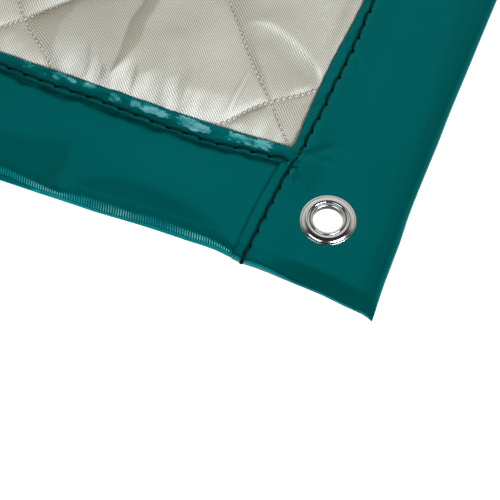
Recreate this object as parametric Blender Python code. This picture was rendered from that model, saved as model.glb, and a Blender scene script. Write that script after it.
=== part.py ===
"""A sound dampening blanket: a diamond-quilted pad in a folded vinyl border with eight grommets.

It lies flat on a surface. The origin is under its middle, X runs along the front edge, Y away
from it and Z up, all in metres. "Inset" is a distance in from the nearest straight line of the
square outline, and "run" is a distance along an edge from the nearest corner.
"""

import math

import bmesh
import bpy
import numpy as np

MM = 0.001

# Plan of the border
HALF_SIZE = 609.6 * MM
BORDER_INSET = 74.0 * MM
FLAT_INSET = 54.5 * MM
THICK_INSET = 59.5 * MM
HIDDEN_INSET = 60.0 * MM
LAP_REACH = 2.0 * MM

# Layers of the border and the panel's pressed edge
LAYER = 1.0 * MM
GAP = 0.3 * MM
EDGE_HALF = 1.5 * MM
EMPTY_HALF = LAYER + GAP
FILLED_HALF = EDGE_HALF + GAP + LAYER
LAPPED_EMPTY_HALF = EMPTY_HALF + GAP + LAYER
LAPPED_FILLED_HALF = FILLED_HALF + GAP + LAYER
FOLD_ROUNDING = 3.0 * MM
FOLD_SHARES = np.array([0.0, 0.27, 1.0])
FOLD_SWELL = 1.0 * MM
SWELL_END = 20.0 * MM

# Grommets
HOLE_RADIUS = 7.7 * MM
NECK_RADIUS = 8.3 * MM
LIP_RADIUS = 9.8 * MM
RING_RADIUS = 14.4 * MM
FLANGE_HEIGHT = 1.2 * MM
CREST_HEIGHT = 1.5 * MM
WASHER_LAYER = 0.9 * MM
METAL_ROUNDING = 0.6 * MM
RING_STEPS = 16
GROMMET_INSET = 40.0 * MM
CORNER_GROMMET_RUN = 43.8 * MM
PUNCH_LENGTH = 40.0 * MM

# Heights of the middle of the border's folded cloth
FLAT_MIDDLE = FLANGE_HEIGHT + GAP + EMPTY_HALF
EDGE_MIDDLE = LAPPED_FILLED_HALF
RIPPLE = 0.9 * MM

# Quilting
DIAMOND = 103.0 * MM
STEPS_PER_DIAMOND = 4
STEP = DIAMOND / STEPS_PER_DIAMOND / math.sqrt(2)
CROSSING_INSET_RIGHT = 93.0 * MM
CROSSING_INSET_FRONT = 99.8 * MM
PRESSED_INSET = 77.0 * MM
FULL_LOFT_INSET = 112.0 * MM
SEAM_TOP = 7.0 * MM
SEAM_UNDER = 2.0 * MM
CROWN = 10.0 * MM
CROWN_SPREAD = 0.08
UNDER_FALL = 3.0 * MM
SEAM_WAVE = 1.5 * MM

# First and last lines of the quilting's points, counted from the crossing nearest the photo's corner
ACROSS_STEPS = np.arange(-59, 3)
ALONG_STEPS = np.arange(-2, 59)

# Runs at which the side strips start and end narrowing, past the ends of the others that they hold
LAP_END_RUN = 80.0 * MM
FREE_RUN = 95.0 * MM

# How strongly each corner is drawn in, measured against the front right one
CORNER_STRENGTH = {
    ("right", "front"): 1.0,
    ("left", "front"): 0.8,
    ("left", "back"): 0.9,
    ("right", "back"): 0.7,
}

# Columns: run from the corner, inset of the outer edge there (mm)
SIDE_BOW = ((0, 0), (19, 1), (48, 1.6), (62, 2.4), (133, 2.6), (210, 1.8), (330, 0.6), (610, 2.2))
END_BOW = ((0, 0), (7, 2.1), (20, 3.3), (40, 4.9), (67, 5.8), (80, 5.8))
FRONT_BOW = (
    (60, 5.9), (95, 5.8), (120, 5.2), (150, 3.5), (180, 2.7), (210, 1.9), (330, 0.5), (610, 2.0),
)

# Columns: run from the corner, change of the inner edge's inset there (mm)
SIDE_INNER = ((0, 4.4), (65, 0.4), (76, -1.4), (138, -1.6), (180, -3.8), (260, -1.0), (610, 0.0))
FRONT_INNER = ((60, 2.6), (76, 2.6), (96, 1.1), (116, 0.3), (240, -0.2), (610, 0.0))

# Columns: run from the corner, part of the fold's full swelling there
FOLD_FULLNESS = (
    (0, 0.2), (80, 0.0), (108, 1.0), (142, 0.5), (160, 0.9), (178, 0.6), (215, 1.0), (610, 0.4),
)

# Columns: x and y inset of the place, how far it is pushed along x and along y, and its reach (mm)
SEAM_PUSHES = (
    (139.7, 150.9, 2.5, 2.5, 30),
    (76.0, 78.0, -2.1, -2.1, 18),
    (115.0, 78.0, 1.6, -1.6, 18),
    (78.0, 116.0, 1.8, -1.8, 18),
    (212.0, 76.0, 1.4, 1.4, 25),
)

# Runs at which the strips have a row of points (mm). The side ones include each run where their
# thickness changes.
SIDE_RUNS = (12, 27, 54.5, 59.5, 80, 95, 133, 178, 215, 270, 360, 450, 540)
FRONT_RUNS = (60, 80, 95, 120, 142, 160, 178, 215, 270, 360, 450, 540)

VINYL = ("teal_vinyl", (0.0, 0.107, 0.102), 0.0, 0.35)
FACING = ("ivory_facing", (0.61, 0.58, 0.52), 0.0, 0.8)
NICKEL = ("nickel", (0.60, 0.57, 0.54), 1.0, 0.25)


def clear_scene():
    for obj in list(bpy.data.objects):
        bpy.data.objects.remove(obj, do_unlink=True)


def finish(name, color, metallic, roughness):
    """A plain material of one colour."""
    material = bpy.data.materials.get(name) or bpy.data.materials.new(name)
    material.use_nodes = True
    shader = material.node_tree.nodes["Principled BSDF"]
    shader.inputs["Base Color"].default_value = (*color, 1.0)
    shader.inputs["Metallic"].default_value = metallic
    shader.inputs["Roughness"].default_value = roughness
    return material


def piece(name, points, faces, material, sharp_degrees):
    """A smooth shaded object from points and faces, with the points that no face uses left out."""
    mesh = bpy.data.meshes.new(name)
    mesh.from_pydata(np.asarray(points).tolist(), [], faces)
    shape = bmesh.new()
    shape.from_mesh(mesh)
    unused = [point for point in shape.verts if not point.link_faces]
    bmesh.ops.delete(shape, geom=unused, context="VERTS")
    bmesh.ops.recalc_face_normals(shape, faces=shape.faces)
    shape.to_mesh(mesh)
    shape.free()
    mesh.shade_smooth()
    mesh.set_sharp_from_angle(angle=math.radians(sharp_degrees))
    mesh.materials.append(finish(*material))
    obj = bpy.data.objects.new(name, mesh)
    bpy.context.collection.objects.link(obj)
    return obj


def ramp(start, end, value):
    """0 up to start, 1 from end on, and straight between them."""
    return np.clip((value - start) / (end - start), 0, 1)


def smooth(share):
    """Eases a share from 0 to 1 in and out."""
    return share * share * (3 - 2 * share)


def table_value(table, run):
    """Reads a table of runs and lengths, both in mm, at a run in metres."""
    runs, lengths = zip(*table)
    return np.interp(run / MM, runs, lengths) * MM


def middle_height(x, y):
    """Height of the middle of the border's cloth: higher where it holds the panel's edge."""
    across = ramp(FLAT_INSET, THICK_INSET, HALF_SIZE - np.abs(x))
    along = ramp(FLAT_INSET, THICK_INSET, HALF_SIZE - np.abs(y))
    return FLAT_MIDDLE + (EDGE_MIDDLE - FLAT_MIDDLE) * np.minimum(across, along)


def ripple(run, inset):
    """Soft lift of the border between its grommets, none where it is sewn."""
    span = HALF_SIZE - CORNER_GROMMET_RUN
    between = np.sin(np.pi * (run - CORNER_GROMMET_RUN) / span) ** 2
    return RIPPLE * between * (run > CORNER_GROMMET_RUN) * (1 - ramp(SWELL_END, FLAT_INSET, inset))


def fold_stations(offset):
    """Distances in from a fold's tip, and the share of its full thickness that the cloth has there.

    The section is half an ellipse. offset is how far the surface lies inside the outer one.
    """
    return offset + (FOLD_ROUNDING - offset) * FOLD_SHARES, np.sqrt(1 - (1 - FOLD_SHARES) ** 2)


def bag_faces(rows, columns, shut_ends):
    """Faces of a flat bag: a top and an under grid that share their points at each shut edge."""
    top = np.arange(rows * columns).reshape(rows, columns)
    under = top + rows * columns
    under[:, 0] = top[:, 0]
    if shut_ends:
        under[0] = top[0]
        under[-1] = top[-1]
    faces = []
    for row in range(rows - 1):
        for column in range(columns - 1):
            corners = ((row, column), (row + 1, column), (row + 1, column + 1), (row, column + 1))
            faces.append([int(top[corner]) for corner in corners])
            faces.append([int(under[corner]) for corner in reversed(corners)])
    return faces


def wall_between(faces, count):
    """Closes two like surfaces with a rim. The second one's points are numbered count higher."""
    edges = {(face[k - 1], face[k]) for face in faces for k in range(len(face))}
    open_edges = sorted(edge for edge in edges if edge[::-1] not in edges)
    inner = [[point + count for point in reversed(face)] for face in faces]
    rim = [[b, a, a + count, b + count] for a, b in open_edges]
    return faces + inner + rim


class Edge:
    """One edge of the outline: a signed place along it and an inset give x and y."""

    def __init__(self, name):
        self.name = name
        self.upright = name in ("left", "right")
        self.sign = 1 if name in ("right", "back") else -1
        ends = ("front", "back") if self.upright else ("left", "right")
        corners = [(name, end) if self.upright else (end, name) for end in ends]
        self.strengths = [CORNER_STRENGTH[corner] for corner in corners]

    def plan(self, along, inset):
        across = self.sign * (HALF_SIZE - inset)
        return (across, along) if self.upright else (along, across)

    def strength(self, along):
        return np.where(along < 0, *self.strengths)


def side_half(run, inset):
    """Half the folded thickness of a side strip, which also holds the ends of the other strips."""
    runs = (FLAT_INSET, THICK_INSET, LAP_END_RUN, FREE_RUN)
    halves = (LAPPED_EMPTY_HALF, LAPPED_FILLED_HALF, LAPPED_FILLED_HALF, FILLED_HALF)
    thick = np.interp(run, runs, halves)
    return EMPTY_HALF + (thick - EMPTY_HALF) * ramp(FLAT_INSET, THICK_INSET, inset)


def front_half(_, inset):
    """Half the folded thickness of a front or back strip, the same all along it."""
    return EMPTY_HALF + (FILLED_HALF - EMPTY_HALF) * ramp(FLAT_INSET, THICK_INSET, inset)


def strip(edge, fixed_runs, bow, inner, reach, half_height, shut_ends):
    """A folded strip: rows follow the edge, columns go in from the fold, and a rim joins its walls."""
    points = []
    for offset in (0.0, LAYER):
        stations, shares = fold_stations(offset)
        end_runs, end_shares = (stations, shares) if shut_ends else ([], [])
        half_runs = np.concatenate([end_runs, np.array(fixed_runs) * MM])
        along = np.concatenate([half_runs - HALF_SIZE, [0.0], HALF_SIZE - half_runs[::-1]])
        run = HALF_SIZE - np.abs(along)
        strength = edge.strength(along)

        fold = strength * table_value(bow, run) + reach
        columns = [fold + station for station in stations]
        columns += [np.full_like(run, inset) for inset in (SWELL_END, FLAT_INSET, THICK_INSET)]
        columns.append(BORDER_INSET + strength * table_value(inner, run))
        inset = np.stack(columns, axis=1)

        along = np.repeat(along[:, None], inset.shape[1], axis=1)
        row_share = np.ones(len(run))
        for index, share in enumerate(end_shares):
            for row in (index, len(run) - 1 - index):
                drawn_in = strength[row] * table_value(END_BOW, inset[row]) + stations[index]
                along[row] = np.sign(along[row]) * (HALF_SIZE - drawn_in)
                row_share[row] = share

        swelling = FOLD_SWELL * table_value(FOLD_FULLNESS, run) / MM
        column_share = np.concatenate([shares, np.ones(inset.shape[1] - len(shares))])
        half = half_height(run[:, None], inset) - offset
        half += swelling[:, None] * (1 - ramp(fold[:, None] + FOLD_ROUNDING, SWELL_END, inset))
        half *= column_share * row_share[:, None]

        x, y = edge.plan(along, inset)
        middle = middle_height(x, y) + ripple(run[:, None], inset)
        for z in (middle + half, middle - half):
            points.append(np.stack([x, y, z], axis=-1).reshape(-1, 3))
    faces = bag_faces(*inset.shape, shut_ends)
    count = 2 * inset.size
    return piece(f"border_{edge.name}", np.concatenate(points), wall_between(faces, count), VINYL, 40)


def panel_plan(steps, crossing, length):
    """Places of the quilting's points along one axis, the outer ones drawn to the hidden cut."""
    place = crossing + steps * STEP
    inset = length - np.abs(place)
    between = (HIDDEN_INSET + PRESSED_INSET) / 2
    inset = np.where(inset < between, HIDDEN_INSET, np.maximum(inset, PRESSED_INSET))
    return np.sign(place) * (length - inset)


def seam_push(x, y):
    """How far the seams wander from straight lines, most near the front right corner."""
    shift_x = SEAM_WAVE * np.sin(11.0 * x + 3.0 * y)
    shift_y = SEAM_WAVE * np.sin(9.0 * y - 4.0 * x)
    for inset_x, inset_y, push_x, push_y, reach in SEAM_PUSHES:
        far_x = x - (HALF_SIZE - inset_x * MM)
        far_y = y + (HALF_SIZE - inset_y * MM)
        near = np.exp(-(far_x**2 + far_y**2) / (reach * MM) ** 2)
        shift_x = shift_x * (1 - near) + push_x * MM * near
        shift_y = shift_y * (1 - near) + push_y * MM * near
    return shift_x, shift_y


def quilt_panel():
    """The filled pad: a grid that follows the seams, with each diamond raised between them."""
    across, along = np.meshgrid(ACROSS_STEPS, ALONG_STEPS, indexing="ij")
    x = panel_plan(across, HALF_SIZE - CROSSING_INSET_RIGHT, HALF_SIZE)
    y = panel_plan(along, CROSSING_INSET_FRONT - HALF_SIZE, HALF_SIZE)
    inset = HALF_SIZE - np.maximum(np.abs(x), np.abs(y))
    loft = smooth(ramp(PRESSED_INSET, FULL_LOFT_INSET, inset))
    shift_x, shift_y = seam_push(x, y)
    x = x + loft * shift_x
    y = y + loft * shift_y

    cells = 2 * STEPS_PER_DIAMOND
    rising, falling = (across + along) / cells, (along - across) / cells
    crown = np.sqrt(np.abs(np.sin(np.pi * rising) * np.sin(np.pi * falling)))
    uneven = np.sin(2.1 * np.floor(rising) + 3.3 * np.floor(falling))
    raised = SEAM_TOP + CROWN * crown * (1 + CROWN_SPREAD * (uneven - 1))
    lowered = np.maximum(0, SEAM_UNDER - UNDER_FALL * crown)
    top = (EDGE_MIDDLE + EDGE_HALF) * (1 - loft) + raised * loft
    under = (EDGE_MIDDLE - EDGE_HALF) * (1 - loft) + lowered * loft

    upper = np.stack([x, y, top], axis=-1).reshape(-1, 3)
    lower = np.stack([x, y, under], axis=-1).reshape(-1, 3)
    number = np.arange(across.size).reshape(across.shape)
    last_row, last_column = across.shape[0] - 1, across.shape[1] - 1
    faces = []
    for row in range(last_row + 1):
        for column in range(last_column + 1):
            if (across[row, column] + along[row, column]) % 2 == 0:
                continue
            around = ((row, column - 1), (row + 1, column), (row, column + 1), (row - 1, column))
            kept = [p for p in around if 0 <= p[0] <= last_row and 0 <= p[1] <= last_column]
            if len(kept) == 2:
                kept.append((row, column))
            corners = [int(number[p]) for p in kept]
            if abs(x[row, column]) < abs(y[row, column]):
                corners = corners[1:] + corners[:1]
            faces += [corners[:3], corners[2:] + corners[:1]] if len(corners) == 4 else [corners]
    faces = wall_between(faces, across.size)
    return piece("quilt_panel", np.concatenate([upper, lower]), faces, FACING, 60)


def turned(name, profile, material):
    """A ring: a closed profile of radius and height carried round Z."""
    radii, heights = np.array(profile).T
    turn = np.arange(RING_STEPS) * 2 * math.pi / RING_STEPS
    x = np.cos(turn)[:, None] * radii
    y = np.sin(turn)[:, None] * radii
    z = np.broadcast_to(heights, x.shape)
    number = np.arange(x.size).reshape(x.shape)
    after_turn, after_point = np.roll(number, -1, axis=0), np.roll(number, -1, axis=1)
    both = np.roll(after_turn, -1, axis=1)
    faces = np.stack([number, after_turn, both, after_point], axis=-1).reshape(-1, 4).tolist()
    return piece(name, np.stack([x, y, z], axis=-1).reshape(-1, 3), faces, material, 35)


def grommet_profiles():
    """Sections of the flanged barrel, whose rolled lip holds the washer, and of the domed washer."""
    cloth_top = FLAT_MIDDLE + EMPTY_HALF
    seat = cloth_top + GAP
    crest = seat + CREST_HEIGHT
    lip_seat = seat + WASHER_LAYER
    barrel = (
        (HOLE_RADIUS, METAL_ROUNDING),
        (HOLE_RADIUS + METAL_ROUNDING, 0.0),
        (RING_RADIUS - METAL_ROUNDING, 0.0),
        (RING_RADIUS, FLANGE_HEIGHT),
        (NECK_RADIUS, FLANGE_HEIGHT),
        (NECK_RADIUS, lip_seat + GAP),
        (LIP_RADIUS, lip_seat + GAP),
        (LIP_RADIUS - METAL_ROUNDING, crest - 0.1 * MM),
        (HOLE_RADIUS, crest - 0.3 * MM),
    )
    washer = (
        (NECK_RADIUS + GAP, seat),
        (RING_RADIUS, seat),
        (RING_RADIUS - 0.9 * MM, crest - 0.2 * MM),
        (RING_RADIUS - 1.6 * MM, crest),
        (LIP_RADIUS + 1.4 * MM, crest),
        (LIP_RADIUS + GAP, lip_seat),
        (NECK_RADIUS + GAP, lip_seat),
    )
    return barrel, washer


def grommet_places():
    """Name of each grommet, the strip that holds it, and its x and y."""
    side = HALF_SIZE - GROMMET_INSET
    corner = HALF_SIZE - CORNER_GROMMET_RUN
    places = []
    for name, x in (("left", -side), ("right", side)):
        for end, y in (("front", -corner), ("middle", 0.0), ("back", corner)):
            places.append((f"{name}_{end}", name, x, y))
    for name, y in (("front", -side), ("back", side)):
        places.append((f"{name}_middle", name, 0.0, y))
    return places


def punch(strip_object, centres):
    """Cuts a round hole through both layers of a strip at each centre."""
    shape = bmesh.new()
    for x, y in centres:
        made = bmesh.ops.create_cone(
            shape, cap_ends=True, segments=RING_STEPS, depth=PUNCH_LENGTH,
            radius1=NECK_RADIUS + GAP, radius2=NECK_RADIUS + GAP,
        )
        bmesh.ops.translate(shape, verts=made["verts"], vec=(x, y, 0.0))
    mesh = bpy.data.meshes.new(f"{strip_object.name}_punch")
    shape.to_mesh(mesh)
    shape.free()
    cutter = bpy.data.objects.new(mesh.name, mesh)
    bpy.context.collection.objects.link(cutter)
    cutter.hide_render = True
    cutter.display_type = "WIRE"
    cut = strip_object.modifiers.new("eyelets", "BOOLEAN")
    cut.operation = "DIFFERENCE"
    cut.object = cutter


def build():
    clear_scene()
    quilt_panel()
    strips = {}
    for name in ("left", "right"):
        strips[name] = strip(Edge(name), SIDE_RUNS, SIDE_BOW, SIDE_INNER, 0.0, side_half, True)
    for name in ("front", "back"):
        edge = Edge(name)
        strips[name] = strip(edge, FRONT_RUNS, FRONT_BOW, FRONT_INNER, LAP_REACH, front_half, False)

    barrel, washer = grommet_profiles()
    places = grommet_places()
    for label, holder, x, y in places:
        for kind, profile in (("grommet", barrel), ("washer", washer)):
            turned(f"{kind}_{label}", profile, NICKEL).location = (x, y, 0.0)
    for holder, strip_object in strips.items():
        punch(strip_object, [(x, y) for _, held_by, x, y in places if held_by == holder])


build()
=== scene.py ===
"""The look of a sound dampening blanket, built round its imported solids.

The blanket lies flat with its front right corner to the camera. Lengths are in metres, and tables
hold millimetres. "Inset" is a distance in from the nearest straight line of the square outline,
and "run" is a distance along an edge from its nearest corner.
"""

import math

import bpy
import numpy as np
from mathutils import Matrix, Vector


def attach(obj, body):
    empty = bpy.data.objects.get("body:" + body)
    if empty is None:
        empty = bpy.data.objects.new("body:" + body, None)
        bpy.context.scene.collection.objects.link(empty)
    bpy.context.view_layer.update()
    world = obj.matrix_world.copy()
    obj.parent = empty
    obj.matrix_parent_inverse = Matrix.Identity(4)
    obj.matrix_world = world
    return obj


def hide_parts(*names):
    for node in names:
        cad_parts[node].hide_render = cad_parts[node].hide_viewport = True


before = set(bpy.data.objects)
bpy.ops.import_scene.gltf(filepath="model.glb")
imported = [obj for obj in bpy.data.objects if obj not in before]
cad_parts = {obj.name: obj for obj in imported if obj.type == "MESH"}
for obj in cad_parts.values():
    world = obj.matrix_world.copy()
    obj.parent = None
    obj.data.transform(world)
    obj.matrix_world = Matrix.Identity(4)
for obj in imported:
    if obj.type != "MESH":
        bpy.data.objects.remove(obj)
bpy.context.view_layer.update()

MM = 0.001

# Border: plan and heights, as its solids have them
HALF_SIZE = 609.6 * MM
BORDER_INSET = 74.0 * MM
PLAIN_STITCHING = 65.5 * MM
LAP_REACH = 2.0 * MM
FLAT_MIDDLE = 2.8 * MM
EDGE_MIDDLE = 3.4 * MM
EMPTY_HALF = 1.3 * MM
FILLED_HALF = 1.15 * MM
LAPPED_HALF = 1.9 * MM
THICKENING = (48.0 * MM, 71.0 * MM)
LAP_END = 77.0 * MM
LAP_FADE = (76.0 * MM, 110.0 * MM)
STRIP_END = 65.0 * MM
TIP_HEIGHT = 0.4 * MM
FRONT_DROOP_SLOPE = 0.065
SIDE_DROOP_SLOPE = 0.05
CLOTH = 0.5 * MM

# Border: how far in from its edges a change of plan or height fades, as one reach or start and end
BOW_FADE = 60.0 * MM
INNER_FADE = 45.0 * MM
LYING_FADE = 25.0 * MM
LIP_FADE = 45.0 * MM
PINCH = (166.0 * MM, 175.0 * MM, 176.0 * MM, 192.0 * MM)

# Border: relief of its upper face, each height with its length or reach
WAVE, WAVE_LENGTH = 0.15 * MM, 80.0 * MM
WAVE_RISE = (8.0 * MM, 30.0 * MM)
CRINKLE, CRINKLE_LENGTH = 0.13 * MM, 10.0 * MM
SIDE_CRINKLE_RUN = (66.0 * MM, 78.0 * MM)
STITCH_VALLEY, VALLEY_REACH = 0.30 * MM, 1.2 * MM
NEEDLE_DIP, DIP_REACH = 0.25 * MM, 1.1 * MM
PUCKER, PUCKER_REACH = 0.10 * MM, 4.0 * MM
HEM_RISE = 2.5 * MM
HEM_STEP, HEM_STEP_START = 0.95 * MM, 0.7 * MM
HEM_SLOPE, HEM_SLOPE_REACH = 0.09, 6.0 * MM
ROLLED_DEPTH, ROLLED_FADE = 0.4 * MM, (6.0 * MM, 9.0 * MM)
UNDER_GAP = 0.1 * MM

# The hem's shadowed lower edge, a step in the cloth with painted shade on it, in mm below the
# front stitching: least reach, growth and waves
SHADOW_REACH, SHADOW_GROWTH, SHADOW_WAVE = 3.9, 1.7, 0.45
SHADOW_GROWS = (128.0 * MM, 150.0 * MM)
SHADOW_WAVE_LENGTH = 16.0 * MM

# Side strips' ends: how far they are pressed down, up to which inset and to which run
PRESSED_DOWN = 1.7 * MM
PRESSED_INSET = (42.0 * MM, 60.0 * MM)
PRESSED_RUN = (1.0 * MM, 12.0 * MM)

# Plain width of the lip along the front fold
LIP = 1.2 * MM

# Grommets
GROMMET_INSET = 40.0 * MM
CORNER_GROMMET_RUN = 43.8 * MM
EYELET_RADIUS = 10.6 * MM
RING_REACH = 17.0 * MM
TURN_STEPS = 128

# Quilting
HALF_DIAGONAL = 72.832 * MM
DIAMOND = 103.0 * MM
COARSE = 10
FINE_PER_HALF = 10 * COARSE
FINE_STEP = HALF_DIAGONAL / FINE_PER_HALF
CROSSING_INSET_RIGHT = 93.0 * MM
CROSSING_INSET_FRONT = 99.8 * MM
PANEL_EDGE = 65.5 * MM
PRESSED_TOP = 3.8 * MM
PRESSED_UNDER = 3.0 * MM
SEAM_TOP = 6.0 * MM
CROWN = 10.6 * MM
SEAM_UNDER = 2.0 * MM
UNDER_FALL = 3.0 * MM
SEAM_WAVE = 1.5 * MM
SEAM_LOOSENING = (62.0 * MM, 78.0 * MM)
UNDER_RISE = (72.0 * MM, 100.0 * MM)

# A pillow's profile: share that is round, share that is steep, and the steep part's reach
ROUND_SHARE, STEEP_SHARE, STEEP_REACH = 0.42, 0.58, 8.5 * MM

# Quilting: relief of its upper face, each height with its length or reach
UNEVEN_CROWN = 0.08
GATHER, GATHER_REACH = 0.22 * MM, 9.0 * MM
GATHERS_FALLING, GATHERS_RISING = 13.0 * MM, 14.0 * MM
SWELL, SWELL_LENGTH = 0.45 * MM, 45.0 * MM
DIMPLE, DIMPLE_LENGTH = 0.09 * MM, 14.0 * MM
STITCH_PULL, PULL_REACH = 0.35 * MM, 1.1 * MM
BESIDE_STITCH, BESIDE_OFF, BESIDE_REACH = 0.22 * MM, 1.4 * MM, 1.2 * MM
FOLDS_RISE = (73.0 * MM, 80.0 * MM)
SIDE_RISE_START = 73.5 * MM
SIDE_RISE = 60.0 * MM
FRONT_RISE_START = 72.8 * MM

# Stitches
QUILT_STITCH = 3.3 * MM
BORDER_STITCH = 9.44 * MM
THREAD_SIDE_START = 5.4 * MM
THREAD_FRONT_START = 70.0 * MM
KNOT_RUN = 5.2 * MM
KNOT_LENGTH = 2.4 * MM
DOUBLED_RUN = 66.0 * MM

# How strongly each corner is drawn in, measured against the front right one
CORNER_STRENGTH = {
    ("right", "front"): 1.0,
    ("left", "front"): 0.8,
    ("left", "back"): 0.9,
    ("right", "back"): 0.7,
}

# Columns: run from the corner, inset of the outer edge there
SIDE_BOW = (
    (0, 0), (10, 0.5), (19, 1), (33, 1.3), (48, 1.6), (62, 2.4), (85, 2.6), (109, 2.4), (133, 2.6),
    (158, 2.3), (184, 2.1), (210, 1.8), (330, 0.6), (610, 2.2),
)
END_BOW = (
    (0, 0), (3, 1.2), (7, 2.1), (14, 2.6), (27, 4.2), (40, 4.9), (54, 5.6), (61, 6.0), (67, 6.0),
    (73, 5.8), (80, 6.6), (200, 6.6),
)
FRONT_BOW = (
    (60, 5.4), (73, 4.9), (80, 5.0), (87, 5.8), (94, 5.9), (101, 5.6), (114, 5.3), (127, 4.9),
    (140, 4.1), (154, 3.2), (167, 2.9), (187, 2.3), (208, 1.8), (330, 0.5), (610, 2.0),
)

# Columns: run from the corner, change of the inner edge's inset there
SIDE_INNER = (
    (0, 4.4), (65, 1.2), (73, -0.2), (78, -1.5), (95, -1.5), (115, -1.3), (138, -1.7), (160, -3.2),
    (180, -3.9), (260, -1.0), (610, 0.0),
)
FRONT_INNER = (
    (60, 2.9), (73, 2.6), (96, 1.1), (116, 0.3), (138, 0.1), (181, 0.3), (212, -0.1), (242, -0.2),
    (610, 0.0),
)

# Columns: run from the corner, inset of the stitching there
SIDE_STITCHING = (
    (0, 72.2), (25.7, 71.0), (43, 70.4), (68, 68.4), (76, 66.9), (84, 66.7), (112, 65.8),
    (130, 65.1), (143, 64.5), (183, 64.7), (300, 65.5), (610, 65.0),
)
FRONT_STITCHING = (
    (60, 68.4), (70, 68.0), (92, 66.3), (107, 64.7), (137, 64.0), (152, 64.4), (179, 65.7),
    (205, 65.4), (238, 66.6), (300, 65.5), (610, 66.0),
)

# Columns: run from the corner, how far in from the fold the border droops there
FRONT_DROOP = (
    (60, 2), (78, 3), (80, 5), (85, 8), (93, 13), (102, 17), (115, 20), (127, 23), (138, 24),
    (149, 23), (157, 21), (164, 18), (170, 14), (175, 10), (183, 38), (187, 36), (192, 33),
    (198, 30), (205, 29), (218, 27), (240, 16), (262, 6), (268, 30), (330, 34), (420, 12),
    (520, 30), (610, 18),
)
SIDE_DROOP = (
    (0, 8), (24, 11), (60, 11), (80, 14), (100, 12), (160, 14), (200, 18), (260, 10), (330, 24),
    (610, 20),
)

# Columns: run from the corner, width of the ribbed band, with its painted highlight, above the
# front lip there
RIBBED_BAND = (
    (60, 0.8), (78, 1.0), (84, 1.5), (91, 2.6), (103, 3.4), (114, 3.8), (125, 4.2), (136, 3.8),
    (147, 4.6), (159, 4.6), (170, 3.2), (177, 1.8), (186, 3.0), (199, 3.6), (208, 3.8), (240, 3.4),
    (262, 2.4), (300, 3.8), (360, 3.2), (420, 2.2), (470, 3.8), (540, 4.0), (610, 3.4),
)

# Columns: run from the corner, how strongly the ribs and their painted highlight show there
RIB_STRENGTH = (
    (60, 0.3), (76, 0.9), (80, 1.0), (95, 1.0), (104, 0.9), (115, 0.8), (130, 0.8), (138, 0.98),
    (146, 0.92), (155, 0.82), (168, 0.8), (174, 0.9), (180, 1.0), (190, 0.94), (197, 0.8),
    (208, 0.76), (240, 0.8), (270, 0.95), (300, 0.8), (350, 0.98), (400, 0.8), (470, 0.95),
    (540, 0.8), (610, 0.9),
)

# Columns: run from the corner, width of the lip along the front fold there
LIP_WIDTH = (
    (60, 1.1), (110, 1.2), (178, 1.0), (185, 1.3), (191, 1.7), (198, 2.2), (204, 2.7), (212, 3.1),
    (225, 2.8), (245, 1.6), (265, 1.1), (300, 1.7), (360, 1.1), (610, 1.3),
)

# Columns: distance in from the fold's tip, share of the cloth's full height there
LIPPED_FOLD = (
    (0, 0), (0.12, 0.13), (0.4, 0.29), (0.7, 0.45), (1.0, 0.60), (1.2, 0.66), (1.45, 0.66),
    (1.7, 0.68), (2.1, 0.73), (2.5, 0.79), (3.2, 0.88), (4.2, 0.95), (5.5, 0.99), (7.0, 1),
)
PLAIN_FOLD = (
    (0, 0), (0.12, 0.30), (0.4, 0.52), (0.9, 0.71), (1.5, 0.83), (2.3, 0.92), (3.3, 0.97), (4.8, 1),
)
SHARP_FOLD = (
    (0, 0), (0.1, 0.45), (0.3, 0.68), (0.6, 0.82), (1.0, 0.91), (1.5, 0.96), (2.2, 0.99), (3.2, 1),
)
UNDER_FOLD = ((0, 0), (0.2, 0.5), (0.6, 0.82), (1.4, 0.97), (2.4, 1))

# Columns: x and y inset of the place, how far it is pushed along x and along y, and its reach
SEAM_PUSHES = (
    (139.7, 150.9, 2.5, 2.5, 30),
    (76.0, 78.0, -2.1, -2.1, 18),
    (115.0, 78.0, 1.6, -1.6, 18),
    (78.0, 116.0, 1.8, -1.8, 18),
    (212.0, 76.0, 1.4, 1.4, 20),
    (238.7, 98.0, 0.0, -1.8, 16),
)

# Columns: x and y inset of the start, and of the end, height, reach on its left and on its right,
# sharpness (1 sharp, 2 round), and the share of height and reach that it starts with
PANEL_CREASES = (
    (184.5, 73.0, 184.0, 79.0, -1.2, 1.6, 1.6, 1.3, 1.0),
    (196.0, 73.0, 190.5, 86.0, -0.6, 2.0, 2.5, 1.6, 0.6),
    (165.8, 72.0, 166.5, 88.0, -0.45, 3.0, 2.2, 1.4, 0.6),
    (136.8, 73.0, 134.0, 84.0, -0.5, 2.0, 2.0, 1.4, 0.8),
    (150.5, 72.0, 149.0, 86.0, -0.4, 3.0, 3.0, 1.8, 0.8),
    (107.5, 73.5, 93.0, 89.0, 1.5, 8.0, 18.0, 1.7, 0.7),
    (102.0, 77.0, 92.0, 91.0, 0.5, 5.0, 9.0, 1.7, 0.9),
    (132.0, 86.0, 101.0, 107.0, 1.8, 22.0, 11.0, 1.8, 0.8),
    (83.0, 110.0, 72.0, 118.0, 1.4, 14.0, 6.0, 1.7, 0.8),
    (111.3, 105.3, 112.2, 87.9, 0.8, 2.4, 1.1, 1.4, 0.7),
    (109.6, 105.0, 110.3, 88.5, -0.7, 1.1, 2.4, 1.4, 0.7),
    (233.0, 91.2, 216.0, 75.0, 0.7, 1.0, 2.2, 1.4, 0.8),
)
BORDER_CREASES = (
    (67.5, 75.3, 54.0, 76.4, -0.5, 0.9, 2.0, 1.6, 1.0),
    (65.6, 74.9, 55.0, 84.0, -0.45, 0.9, 2.2, 1.6, 1.0),
    (67.8, 66.0, 64.0, 61.0, -0.6, 1.2, 1.2, 1.6, 1.0),
    (65.0, 148.0, 58.0, 140.0, -0.35, 1.0, 1.5, 1.6, 1.0),
)

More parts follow.
